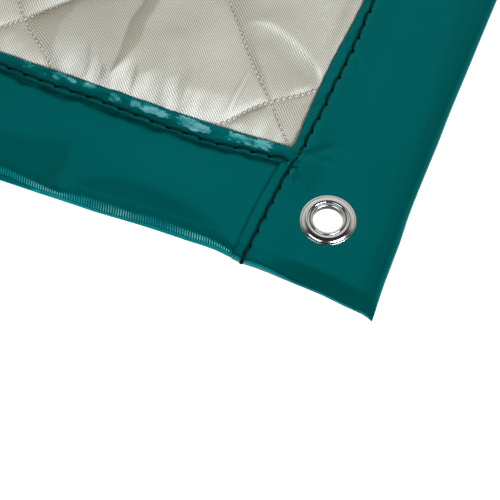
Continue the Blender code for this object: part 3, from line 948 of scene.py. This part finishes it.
def quilt_panel(material):
    """The filled pad as one closed surface: the fine upper face, a plainer under one and a rim."""
    keys, triangles = np.unique(upper_triangles(), return_inverse=True)
    across = keys // KEY_STRIDE + PANEL_ACROSS[0]
    along = keys % KEY_STRIDE + PANEL_ALONG[0]
    upper = np.stack(quilt_top(across, along), 1)

    under_across = span_steps(PANEL_ACROSS, 2 * COARSE)
    under_along = span_steps(PANEL_ALONG, 2 * COARSE)
    grid = np.meshgrid(under_across, under_along, indexing="ij")
    lower = np.stack(quilt_under(*grid), -1).reshape(-1, 3)
    cells = grid_faces(*grid[0].shape)[:, ::-1] + len(upper)

    front = np.append(
        np.arange(PANEL_ACROSS[0], WINDOW_ACROSS[0], COARSE),
        np.arange(WINDOW_ACROSS[0], WINDOW_ACROSS[1] + 1),
    )
    behind = span_steps((WINDOW_ALONG[1], PANEL_ALONG[1]), COARSE)
    right = np.append(np.arange(*WINDOW_ALONG), behind)
    back, left = span_steps(PANEL_ACROSS, COARSE), span_steps(PANEL_ALONG, COARSE)
    loop = lattice_key(*np.vstack([
        border_loop(front, right)[: len(front) + len(right) - 2],
        border_loop(back, left)[len(back) + len(left) - 2:],
    ]).T)
    under_loop = border_loop(under_across, under_along)
    order = np.argsort(loop)
    start = order[np.searchsorted(loop, lattice_key(*under_loop.T), sorter=order)]
    row = np.searchsorted(under_across, under_loop[:, 0])
    column = np.searchsorted(under_along, under_loop[:, 1])
    under = len(upper) + row * len(under_along) + column

    faces = np.vstack([
        triangles.reshape(-1, 3), cells[:, :3], cells[:, [0, 2, 3]],
        rim_triangles(np.searchsorted(keys, loop), under, start),
    ])
    lattice = np.vstack([np.stack([across, along], 1), np.stack(grid, -1).reshape(-1, 2)])
    # Painted highlight and shade of the satin, on the upper face only.
    gleam = np.append(satin_gleam(upper[:, 0], upper[:, 1], across, along), np.zeros(len(lower)))
    panel = mesh_piece(
        "quilt_panel", np.vstack([upper, lower]), faces, material, lattice * FINE_STEP, gleam=gleam,
    )
    return panel


# Thread


def thread_piece(name, paths, radii, lit, material, sides):
    """Stitches as closed spindles: each path carries a ring of sides, and its ends are points."""
    stitches, count, _ = paths.shape
    lit = np.broadcast_to(lit, (stitches, count))
    way = np.gradient(paths, axis=1)
    way /= np.linalg.norm(way, axis=2, keepdims=True)
    across = np.cross(way, [0.0, 0.0, 1.0])
    across /= np.linalg.norm(across, axis=2, keepdims=True)
    raised = np.cross(across, way)
    turn = np.arange(sides) * 2 * np.pi / sides
    spread = across[:, :, None] * np.cos(turn)[:, None] + raised[:, :, None] * np.sin(turn)[:, None]
    rings = paths[:, 1:-1, None] + spread[:, 1:-1] * radii[..., 1:-1, None, None]
    points = np.concatenate([paths[:, :1], rings.reshape(stitches, -1, 3), paths[:, -1:]], axis=1)

    number = np.arange((count - 2) * sides).reshape(count - 2, sides) + 1
    beside = np.roll(number, -1, axis=1)
    body = np.stack([number[:-1], number[1:], beside[1:], beside[:-1]], -1).reshape(-1, 4)
    start, end = np.zeros(sides, int), np.full(sides, (count - 2) * sides + 1)
    triangles = np.vstack([
        body[:, :3], body[:, [0, 2, 3]],
        np.stack([start, number[0], beside[0]], 1), np.stack([end, beside[-1], number[-1]], 1),
    ])
    faces = triangles[None] + np.arange(stitches)[:, None, None] * points.shape[1]
    rings_lit = np.hstack([lit[:, :1], np.repeat(lit[:, 1:-1], sides, axis=1), lit[:, -1:]])
    return mesh_piece(name, points, faces.reshape(-1, 3), material, lit=rings_lit)


def quilt_thread(material):
    """Thread of the quilting: short stitches along both families of seams."""
    pitch = QUILT_STITCH / DIAMOND
    shares = np.array([0.08, 0.26, 0.5, 0.74, 0.92])
    lifts = np.array([-0.25, 0.18, 0.42, 0.18, -0.25]) * MM
    seams, steps = np.meshgrid(np.arange(-16, 17), np.arange(-16, 16, pitch), indexing="ij")
    moving = steps[..., None] + shares * pitch
    fixed = seams[..., None] + 0 * moving
    paths = []
    for falling, rising in ((fixed, moving), (moving, fixed)):
        across = (falling - rising) * FINE_PER_HALF
        along = (falling + rising) * FINE_PER_HALF
        x, y, z = quilt_top(across, along)
        inset = inset_of(x, y).min(axis=-1)
        held = (across > PANEL_ACROSS[0]) & (across < PANEL_ACROSS[1])
        held &= (along > PANEL_ALONG[0]) & (along < PANEL_ALONG[1])
        kept = held.all(axis=-1) & (inset > BORDER_INSET - 1.2 * MM)
        paths.append(np.stack([x, y, z + lifts], -1)[kept])
    radii = np.array([0.0, 0.54, 0.68, 0.54, 0.0]) * MM
    # Painted shade at each stitch's ends, where it dips into the cloth.
    lit = np.array([0.0, 0.5, 1.0, 0.5, 0.0])
    return thread_piece("quilting_thread", np.concatenate(paths), radii, lit, material, 4)


def border_top(edge, along, inset):
    """Height of a strip's upper face at a place on it, away from its fold."""
    x, y = edge.plan(along, inset)
    run = run_of(along)
    relief = border_relief(edge, x, y, along, run, inset, inset) + creases(BORDER_CREASES, x, y)
    return x, y, middle_height(x, y) + half_thickness(edge, run, inset) + relief


# Along one stitch of the border, from hole to hole: how far, how high, how far out and how lit
STITCH_SHARES = np.array([-0.07, 0.0, 0.2, 0.5, 0.8, 1.0, 1.07])
STITCH_LIFTS = np.array([-0.6, 0.0, 0.30, 0.36, 0.30, 0.0, -0.6]) * MM
STITCH_SLANTS = np.array([-0.35, -0.2, 0.3, 0.5, 0.4, -0.05, -0.2]) * MM
STITCH_RADII = np.array([0.0, 0.66, 0.68, 0.62, 0.54, 0.40, 0.0]) * MM
STITCH_LIT = np.array([0.0, 0.3, 0.8, 1.0, 0.8, 0.3, 0.0])


def stitch_paths(edge, along, inset, lifts, lapped=0.0):
    """Paths of stitches on a strip's upper face, or on what laps over it, lifted off it."""
    x, y, z = border_top(edge, along, inset)
    return np.stack([x, y, z + lapped + lifts], -1)


def border_thread(material):
    """Lockstitch of the border: long slanted stitches that dip into the needle's holes.

    Each hole has a short loop wholly in the thread's painted shade, each side strip's seam is
    doubled near its ends, and a knot, mostly in painted shade, closes it there.
    """
    random = np.random.default_rng(7)
    stitches, holes, knots = [], [], []
    for name in ("left", "right", "front", "back"):
        edge = Edge(name)
        end = HALF_SIZE - (THREAD_SIDE_START if edge.upright else THREAD_FRONT_START)
        first = -math.floor(end / BORDER_STITCH) * BORDER_STITCH
        starts = np.arange(first, end - 0.99 * BORDER_STITCH, BORDER_STITCH)
        each = (len(starts), 1)
        along = starts[:, None] + STITCH_SHARES * BORDER_STITCH
        wander = random.uniform(-0.25, 0.25, each) * MM
        inset = edge.stitch_inset(along) + STITCH_SLANTS * random.uniform(0.5, 1.4, each) + wander
        lapped = 0.0
        if not edge.upright:
            lapped = ease(-1 * MM, 1 * MM, LAP_END - run_of(along))
            lapped = lapped * (LAPPED_HALF - FILLED_HALF)
        stitches.append(stitch_paths(edge, along, inset, STITCH_LIFTS, lapped))
        along = starts[:, None] + (STITCH_SHARES - 0.5) * random.uniform(1.3, 2.3, each) * MM
        inset = edge.stitch_inset(along) + wander - 0.25 * MM
        holes.append(stitch_paths(edge, along, inset, STITCH_LIFTS))
        if edge.upright:
            again = starts[run_of(starts) < DOUBLED_RUN]
            along = again[:, None] + (STITCH_SHARES + 0.45) * BORDER_STITCH
            inset = edge.stitch_inset(along) + 0.75 * MM - STITCH_SLANTS
            stitches.append(stitch_paths(edge, along, inset, STITCH_LIFTS))
            for side in (-1, 1):
                along = side * (HALF_SIZE - KNOT_RUN) + (STITCH_SHARES[None] - 0.5) * KNOT_LENGTH
                inset = edge.stitch_inset(along)
                knots.append(stitch_paths(edge, along, inset, 1.3 * STITCH_LIFTS))
    groups = [np.concatenate(group) for group in (stitches, holes, knots)]
    counts = [len(group) for group in groups]
    radii = np.repeat([[1.0], [1.15], [1.5]], counts, axis=0) * STITCH_RADII
    lit = np.repeat([[1.0], [0.0], [0.2]], counts, axis=0) * STITCH_LIT
    return thread_piece("border_thread", np.vstack(groups), radii, lit, material, 6)


# Grommets

# Columns: radius, height
BARREL = (
    (8.5, 4.3), (9.1, 4.5), (9.3, 4.85), (9.22, 5.22), (8.98, 5.48), (8.62, 5.6), (8.25, 5.54),
    (7.92, 5.34), (7.72, 5.0), (7.66, 4.4), (7.66, 3.2), (7.75, 2.2), (8.0, 1.2), (8.5, 0.45),
    (9.2, 0.08), (10.4, 0.0), (13.4, 0.0), (14.1, 0.25), (14.4, 0.7), (14.2, 1.15), (13.4, 1.2),
    (8.9, 1.2), (8.6, 1.6), (8.5, 2.8), (8.5, 3.9),
)
WASHER = (
    (14.3, 4.12), (14.42, 4.18), (14.38, 4.26), (14.2, 4.37), (13.9, 4.48), (13.62, 4.57),
    (13.48, 4.66), (13.34, 4.84), (13.1, 5.06), (12.85, 5.24), (12.5, 5.43), (12.1, 5.61),
    (11.7, 5.755), (11.3, 5.87), (11.0, 5.9), (10.7, 5.89), (10.5, 5.85), (10.25, 5.76),
    (10.0, 5.64), (9.8, 5.51), (9.66, 5.37), (9.57, 5.15), (9.52, 4.8), (9.5, 4.5), (9.3, 4.42),
    (8.9, 4.4), (8.8, 4.2), (10.5, 4.12),
)


def turned(name, profile, x, y, material):
    """A ring: a closed profile of radius and height, rounded, carried round the grommet's middle.

    Between two of its rows the profile is the cubic whose slopes at them are those of the lines
    through their neighbours.
    """
    rows = np.array(profile) * MM
    before, after, past = np.roll(rows, 1, 0), np.roll(rows, -1, 0), np.roll(rows, -2, 0)
    t = np.array([0.0, 0.5])[:, None, None]
    rounded = rows + 0.5 * t * (after - before + t * (
        2 * before - 5 * rows + 4 * after - past + t * (3 * (rows - after) + past - before)
    ))
    radii, heights = rounded.transpose(1, 0, 2).reshape(-1, 2).T
    turn = np.arange(TURN_STEPS)[:, None] * 2 * np.pi / TURN_STEPS
    ring_x, ring_y = x + np.cos(turn) * radii, y + np.sin(turn) * radii
    points = np.stack([ring_x, ring_y, heights + 0 * ring_x], -1)
    # Painted shade for the recesses: low points near the middle, in the barrel and behind its lip.
    deep = (1 - ease(4.7 * MM, 5.2 * MM, heights)) * (radii < 9.75 * MM) + 0 * ring_x
    faces = grid_faces(*ring_x.shape, closed=True)
    return mesh_piece(name, points, faces, material, deep=deep)


# Finishes


class Nodes:
    """Adds nodes to one tree. Each method but add gives the output of the node that it adds."""

    def __init__(self, tree):
        self.tree = tree

    def add(self, kind, settings=(), **inputs):
        """Adds a node. An input's value is a socket or a constant, and _0 means its first input."""
        made = self.tree.nodes.new(kind)
        for name, value in dict(settings).items():
            setattr(made, name, value)
        for name, value in inputs.items():
            key = int(name[1:]) if name[0] == "_" else name.replace("_", " ")
            if isinstance(value, bpy.types.NodeSocket):
                self.tree.links.new(value, made.inputs[key])
            else:
                made.inputs[key].default_value = value
        return made

    def math(self, operation, *values):
        """The result of one Math node."""
        inputs = {f"_{number}": value for number, value in enumerate(values)}
        return self.add("ShaderNodeMath", {"operation": operation}, **inputs).outputs[0]

    def times(self, first, second):
        """Product of two values."""
        return self.math("MULTIPLY", first, second)

    def scaled(self, value, factor, offset):
        """A value times a factor, plus an offset."""
        return self.math("MULTIPLY_ADD", value, factor, offset)

    def wave(self, place, length, start=0.0):
        """Sine wave of a length in metres, from -1 to 1."""
        return self.math("SINE", self.scaled(place, 2 * math.pi / length, start))

    def mixed(self, share, first, second):
        """A colour between two others, the first where share is 0."""
        inputs = {"_0": share, "_6": first, "_7": second}
        return self.add("ShaderNodeMix", {"data_type": "RGBA"}, **inputs).outputs[2]

    def tinted(self, first, second):
        """Product of two colours."""
        settings = {"data_type": "RGBA", "blend_type": "MULTIPLY"}
        return self.add("ShaderNodeMix", settings, _0=1.0, _6=first, _7=second).outputs[2]

    def eased(self, value, start, end):
        """0 at start, 1 at end, and a smooth S between them."""
        settings = {"interpolation_type": "SMOOTHSTEP"}
        return self.add("ShaderNodeMapRange", settings, _0=value, _1=start, _2=end).outputs[0]

    def noise(self, place, scale, detail=2.0, roughness=0.5):
        """Solid noise from 0 to 1."""
        inputs = {"Vector": place, "Scale": scale, "Detail": detail, "Roughness": roughness}
        return self.add("ShaderNodeTexNoise", **inputs).outputs["Fac"]

    def split(self, vector):
        """The three parts of a vector or a colour."""
        return self.add("ShaderNodeSeparateXYZ", _0=vector).outputs

    def point(self, x, y):
        """A vector in one plane."""
        return self.add("ShaderNodeCombineXYZ", _0=x, _1=y).outputs[0]

    def mark(self, label):
        """The piece's own value of a name at each point."""
        return self.add("ShaderNodeAttribute", {"attribute_name": label}).outputs["Fac"]

    def cloth(self):
        """Place on the flat cloth, in metres."""
        return self.add("ShaderNodeUVMap", {"uv_map": "cloth"}).outputs[0]

    def object_place(self):
        """Place in the object's own coordinates, in metres."""
        return self.add("ShaderNodeTexCoord").outputs["Object"]


class Finish(Nodes):
    """A material with one shader, whose constant values are set on its own sockets."""

    def __init__(self, name, **constants):
        self.material = bpy.data.materials.new(name)
        self.material.use_nodes = True
        super().__init__(self.material.node_tree)
        self.shader = self.tree.nodes["Principled BSDF"]
        for label, value in constants.items():
            self.shader.inputs[label.replace("_", " ")].default_value = value

    def use(self, label, output):
        """Feeds one of the shader's inputs from a node."""
        self.tree.links.new(output, self.shader.inputs[label])

    def bump(self, height, distance, strength):
        """Relief too fine for the mesh."""
        inputs = {"Height": height, "Distance": distance, "Strength": strength}
        self.use("Normal", self.add("ShaderNodeBump", **inputs).outputs[0])


# Ivory satin: turn and pitch of its twill, pitch and share of its weft
TWILL_TURN = math.radians(-42.5)
TWILL_PITCH = 1.13 * MM
WEFT_PITCH = 1.25 * MM
WEFT_LEAN = 0.35
WEFT_SHARE = 0.32


def ivory_facing():
    """Satin ivory twill: fine diagonal ribs, a faint cross weave, slow changes of shade, and
    painted highlights and shade.
    """
    finish = Finish(
        "ivory_facing", Roughness=0.56, Specular_IOR_Level=0.85, Specular_Tint=(0.82, 0.95, 1.0, 1),
        Sheen_Weight=0.2, Sheen_Roughness=0.4,
    )
    place = finish.cloth()
    x, y, _ = finish.split(place)
    across = finish.scaled(x, -math.sin(TWILL_TURN), finish.times(y, math.cos(TWILL_TURN)))
    wobble = finish.times(finish.noise(place, 60.0, 2.0), 2.2 * MM)
    twill = finish.wave(finish.math("ADD", across, wobble), TWILL_PITCH)
    weft = finish.wave(finish.scaled(x, WEFT_LEAN, y), WEFT_PITCH)
    twill, weft = finish.scaled(twill, 0.5, 0.5), finish.scaled(weft, 0.5, 0.5)
    weave = finish.scaled(weft, WEFT_SHARE, finish.times(twill, 1 - WEFT_SHARE))
    tone = finish.mixed(weave, (0.22, 0.182, 0.118, 1), (0.735, 0.69, 0.575, 1))
    slow = finish.eased(finish.noise(place, 22.0, 3.0), 0.35, 0.65)
    shade = finish.mixed(slow, (0.93, 0.91, 0.87, 1), (1.05, 1.05, 1.05, 1))
    # Painted highlight where the satin's mark is above 0; painted shade, darker and warmer, below
    # 0.
    gleam = finish.mark("gleam")
    shade = finish.mixed(finish.eased(gleam, 0.0, 1.0), shade, (1.36, 1.38, 1.44, 1))
    shade = finish.mixed(finish.eased(gleam, 0.0, -1.0), shade, (0.80, 0.758, 0.66, 1))
    finish.use("Base Color", finish.tinted(tone, shade))
    finish.bump(weave, 0.12 * MM, 0.5)
    return finish.material


# Teal vinyl: pitch of its scrim and ribs, its colours, and how far a rib leans. Past the plain
# teals
# the colours paint light and shade: a lit lip, groove and band shades, rib and pucker highlights
# and the hem's reflections
SCRIM_PITCH = 1.36 * MM
RIB_LEAN = 0.30
TEAL_DEEP, TEAL_PLAIN = (0.0, 0.048, 0.043, 1), (0.0, 0.056, 0.051, 1)
TEAL_LIT_LIP, TEAL_PUCKER_HIGHLIGHT = (0.0, 0.075, 0.071, 1), (0.0, 0.17, 0.16, 1)
TEAL_GROOVE_SHADE, TEAL_SHADE_BAND = (0.0, 0.025, 0.023, 1), (0.0, 0.018, 0.016, 1)
TEAL_RIB_HIGHLIGHT, TEAL_BRIGHT_RIB_HIGHLIGHT = (0.0, 0.27, 0.27, 1), (0.12, 0.42, 0.41, 1)
REFLECTION_DARK, REFLECTION_DULL = (0.0, 0.09, 0.09, 1), (0.0, 0.12, 0.12, 1)
REFLECTION_PALE = (0.17, 0.44, 0.45, 1)


def teal_vinyl():
    """Teal coated cloth: its scrim shows faintly, its front fold is ribbed, and light and shade are
    painted into its colour.

    The painted reflections on the front hem have torn edges, and painted highlights lie beside the
    needle's holes. A lit lip, dark groove lines and a dark band under the front stitching are
    painted too.
    """
    finish = Finish("teal_vinyl", Specular_IOR_Level=0.1, Specular_Tint=(0.0, 9.0, 9.2, 1.0))
    place = finish.cloth()
    along, over, _ = finish.split(place)
    teal = finish.mixed(finish.noise(place, 26.0, 3.0), TEAL_DEEP, TEAL_PLAIN)

    # Painted light and shade: a lit lip, dark groove lines, a streaked dark band and lap line
    # shade.
    tone = finish.mark("tone")
    rim = finish.math("SUBTRACT", 1.0, finish.eased(tone, 0.4, 0.8))
    groove_shade = finish.times(finish.eased(tone, 0.05, 0.35), rim)
    streaks = finish.noise(finish.point(finish.times(along, 0.12), over), 900.0, 2.0)
    streak = finish.scaled(finish.eased(streaks, 0.3, 0.6), 0.6, 0.4)
    band = finish.times(finish.eased(tone, -0.1, -0.9), streak)
    teal = finish.mixed(finish.eased(tone, 0.3, 0.9), teal, TEAL_LIT_LIP)
    teal = finish.mixed(groove_shade, teal, TEAL_GROOVE_SHADE)
    teal = finish.mixed(band, teal, TEAL_SHADE_BAND)

    off = finish.mark("off")
    # Painted highlights on the puckers just outside the stitching, beside the needle's holes.
    pucker_highlight = finish.eased(finish.wave(along, BORDER_STITCH, 1.1), 0.75, 0.95)
    pucker_highlight = finish.times(pucker_highlight, finish.eased(off, -1.5, -1.0))
    pucker_highlight = finish.times(pucker_highlight, finish.eased(off, -0.4, -0.7))
    pucker_highlight = finish.times(pucker_highlight, finish.eased(finish.noise(place, 500.0, 2.0), 0.35, 0.5))
    teal = finish.mixed(pucker_highlight, teal, TEAL_PUCKER_HIGHLIGHT)

    # Ribs on the front fold: their teeth get a painted highlight, and they raise the bump below.
    ribs = finish.mark("ribs")
    tooth = finish.eased(finish.wave(finish.scaled(over, RIB_LEAN, along), SCRIM_PITCH), -0.4, 0.8)
    glint = finish.scaled(finish.eased(finish.noise(place, 90.0, 3.0), 0.3, 0.62), 0.5, 0.5)
    rib_highlight = finish.mixed(finish.eased(ribs, 0.72, 1.0), TEAL_RIB_HIGHLIGHT, TEAL_BRIGHT_RIB_HIGHLIGHT)
    teal = finish.mixed(finish.times(finish.times(tooth, glint), ribs), teal, rib_highlight)

    # Painted reflections on the front hem: pale spots with torn edges and streaks, over the teal.
    painted_reflection = finish.mark("painted_reflection")
    lean = finish.point(finish.times(finish.scaled(over, 0.5, along), 0.42), over)
    shards = finish.add("ShaderNodeTexVoronoi", Vector=lean, Scale=950.0, Randomness=1.0)
    shard = finish.times(finish.split(shards.outputs["Color"])[0], 0.5)
    torn = finish.scaled(finish.noise(lean, 340.0, 4.0, 0.65), 1.7, shard)
    reflection_patch = finish.eased(finish.math("ADD", torn, painted_reflection), 1.55, 1.72)
    reflection_patch = finish.times(reflection_patch, finish.eased(painted_reflection, 0.08, 0.25))
    reflection_streaks = finish.eased(finish.noise(lean, 430.0, 4.0, 0.75), 0.32, 0.66)
    reflection_mottle = finish.eased(finish.noise(lean, 190.0, 2.0), 0.38, 0.62)
    pale = finish.mixed(reflection_mottle, REFLECTION_DULL, REFLECTION_PALE)
    pale = finish.mixed(finish.scaled(reflection_streaks, 0.6, 0.4), REFLECTION_DARK, pale)
    finish.use("Base Color", finish.mixed(reflection_patch, teal, pale))
    finish.use("Roughness", finish.scaled(finish.noise(place, 300.0, 3.0), 0.10, 0.24))

    crossways = finish.times(finish.wave(over, SCRIM_PITCH), 0.5)
    scrim = finish.scaled(finish.wave(along, SCRIM_PITCH), 0.5, crossways)
    finish.bump(finish.scaled(finish.times(tooth, ribs), 16.0, scrim), 0.012 * MM, 0.6)
    return finish.material


def nickel():
    """Bright nickel plate with fine scratches, with painted shade in the barrel and behind its lip.
    """
    finish = Finish("nickel", Metallic=1.0)
    # Painted shade: near black where the recess mark is 1.
    tone = finish.mixed(finish.mark("deep"), (0.63, 0.62, 0.61, 1), (0.035, 0.025, 0.02, 1))
    finish.use("Base Color", tone)
    scratches = finish.noise(finish.object_place(), 700.0, 3.0)
    finish.use("Roughness", finish.scaled(scratches, 0.04, 0.15))
    return finish.material


def thread_material(name, dark, light):
    """Twisted thread: painted shade where it dips into the cloth, and a fine noise in its lit part.
    """
    finish = Finish(name, Roughness=0.8, Specular_IOR_Level=0.08)
    twist = finish.noise(finish.object_place(), 2500.0, 2.0)
    share = finish.times(finish.mark("lit"), finish.scaled(twist, 0.9, 0.4))
    finish.use("Base Color", finish.mixed(share, dark, light))
    return finish.material


# Studio


def aim(obj, place, target):
    """Puts an object at a place and turns it to face a target."""
    obj.location = place
    obj.rotation_euler = (Vector(target) - Vector(place)).to_track_quat("-Z", "Y").to_euler()
    bpy.context.scene.collection.objects.link(obj)


def softbox(name, place, target, size, brightness, tint):
    """An area light that the camera doesn't see. White cloth in full light is 1 bright."""
    light = bpy.data.lights.new(name, "AREA")
    light.shape = "RECTANGLE"
    light.size, light.size_y = size
    light.energy = brightness * math.pi * size[0] * size[1]
    light.color = tint
    obj = bpy.data.objects.new(name, light)
    obj.visible_camera = False
    aim(obj, place, target)


def studio_floor():
    """A wide pale floor that glows a little, like a light table."""
    finish = Finish(
        "pale_floor", Base_Color=(0.6, 0.6, 0.6, 1), Roughness=0.9,
        Emission_Color=(1, 0.97, 0.94, 1), Emission_Strength=0.9,
    )
    reach, below = 20.0, -0.1 * MM
    corners = [(x * reach, y * reach, below) for x, y in ((-1, -1), (1, -1), (1, 1), (-1, 1))]
    mesh = bpy.data.meshes.new("floor")
    mesh.from_pydata(corners, [], [(0, 1, 2, 3)])
    mesh.materials.append(finish.material)
    floor = bpy.data.objects.new("floor", mesh)
    bpy.context.scene.collection.objects.link(floor)


def studio_world():
    """White walls all round, brightest in front, with a dark ceiling and a dark gap in front.

    The gap lies above the horizon on the side of the photograph's camera. It stays there when
    another camera looks on.
    """
    world = bpy.data.worlds.new("studio")
    bpy.context.scene.world = world
    world.use_nodes = True
    nodes = Nodes(world.node_tree)
    x, y, height = nodes.split(nodes.add("ShaderNodeTexCoord").outputs["Generated"])
    front = nodes.times(x, math.sin(CAMERA_AZIMUTH))
    front = nodes.scaled(y, -math.cos(CAMERA_AZIMUTH), front)
    low = nodes.mixed(nodes.eased(front, -0.9, 0.1), (1.0, 0.97, 0.93, 1), (0.66, 0.63, 0.60, 1))
    low = nodes.mixed(nodes.eased(front, 0.3, 0.5), low, (1.3, 1.3, 1.3, 1))
    wall = nodes.mixed(nodes.eased(height, 0.4, 0.66), low, (0.60, 0.565, 0.52, 1))
    tone = nodes.mixed(nodes.eased(height, 0.66, 0.84), wall, (0.06, 0.05, 0.04, 1))
    gap = nodes.math("MAXIMUM", nodes.eased(height, 0.14, 0.22), nodes.eased(front, 0.88, 0.95))
    gap = nodes.times(gap, nodes.eased(front, -0.2, 0.1))
    tone = nodes.mixed(gap, tone, (0.02, 0.019, 0.017, 1))
    world.node_tree.links.new(tone, world.node_tree.nodes["Background"].inputs["Color"])


# Places of the lights in metres: the softboxes from the corner that the camera looks at, and the
# cards that hang level over the quilting from the blanket's middle
KEY_OFFSET, FILL_OFFSET = Vector((1.616, -0.971, 1.133)), Vector((-0.767, -1.723, 1.133))
CARD_PLACE, SIDE_CARD_PLACE = Vector((0.14, 0.36, 1.3)), Vector((0.45, -0.21, 1.3))
COOL, NEUTRAL = (0.90, 1.0, 1.14), (0.95, 1.0, 1.07)


def studio():
    """Floor, walls, two softboxes, two cards and the camera at the photograph's angle."""
    corner = CAMERA_TARGET
    studio_floor()
    studio_world()
    softbox("key", corner + KEY_OFFSET, corner, (1.6, 0.8), 16.4, COOL)
    softbox("fill", corner + FILL_OFFSET, corner, (1.6, 0.8), 4.4, COOL)
    cards = (
        ("card", CARD_PLACE, (0.78, 0.95), 0.86),
        ("side_card", SIDE_CARD_PLACE, (0.22, 0.19), 0.81),
    )
    for name, place, size, brightness in cards:
        softbox(name, place, place * Vector((1, 1, 0)), size, brightness, NEUTRAL)
    camera = bpy.data.objects.new("camera", bpy.data.cameras.new("camera"))
    camera.data.lens = CAMERA_LENS
    back = Vector((
        math.sin(CAMERA_AZIMUTH) * math.cos(CAMERA_ELEVATION),
        -math.cos(CAMERA_AZIMUTH) * math.cos(CAMERA_ELEVATION),
        math.sin(CAMERA_ELEVATION),
    ))
    aim(camera, corner + back * CAMERA_DISTANCE, corner)
    scene = bpy.context.scene
    scene.camera = camera
    scene.view_settings.view_transform = "Standard"


def build():
    """Makes every piece, hides the solids that the pieces stand in for, and sets up the studio."""
    facing, vinyl, metal = ivory_facing(), teal_vinyl(), nickel()
    # Each thread's first colour is painted shade, for where it dips into the cloth.
    black_thread = thread_material("black_thread", (0.0, 0.0005, 0.0005, 1), (0.0, 0.020, 0.016, 1))
    taupe_thread = thread_material("taupe_thread", (0.10, 0.055, 0.035, 1), (0.80, 0.68, 0.60, 1))
    panel = quilt_panel(facing)
    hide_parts("quilt_panel")
    for name in ("left", "right", "front", "back"):
        edge = Edge(name)
        strip = border_strip(edge, vinyl)
        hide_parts(f"border_{name}")
    quilt_thread(taupe_thread)
    border_thread(black_thread)
    for label, x, y in grommet_places():
        for kind, profile in (("grommet", BARREL), ("washer", WASHER)):
            ring = turned(f"{kind}_{label}", profile, x, y, metal)
            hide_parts(f"{kind}_{label}")
    studio()


build()
bpy.context.view_layer.update()
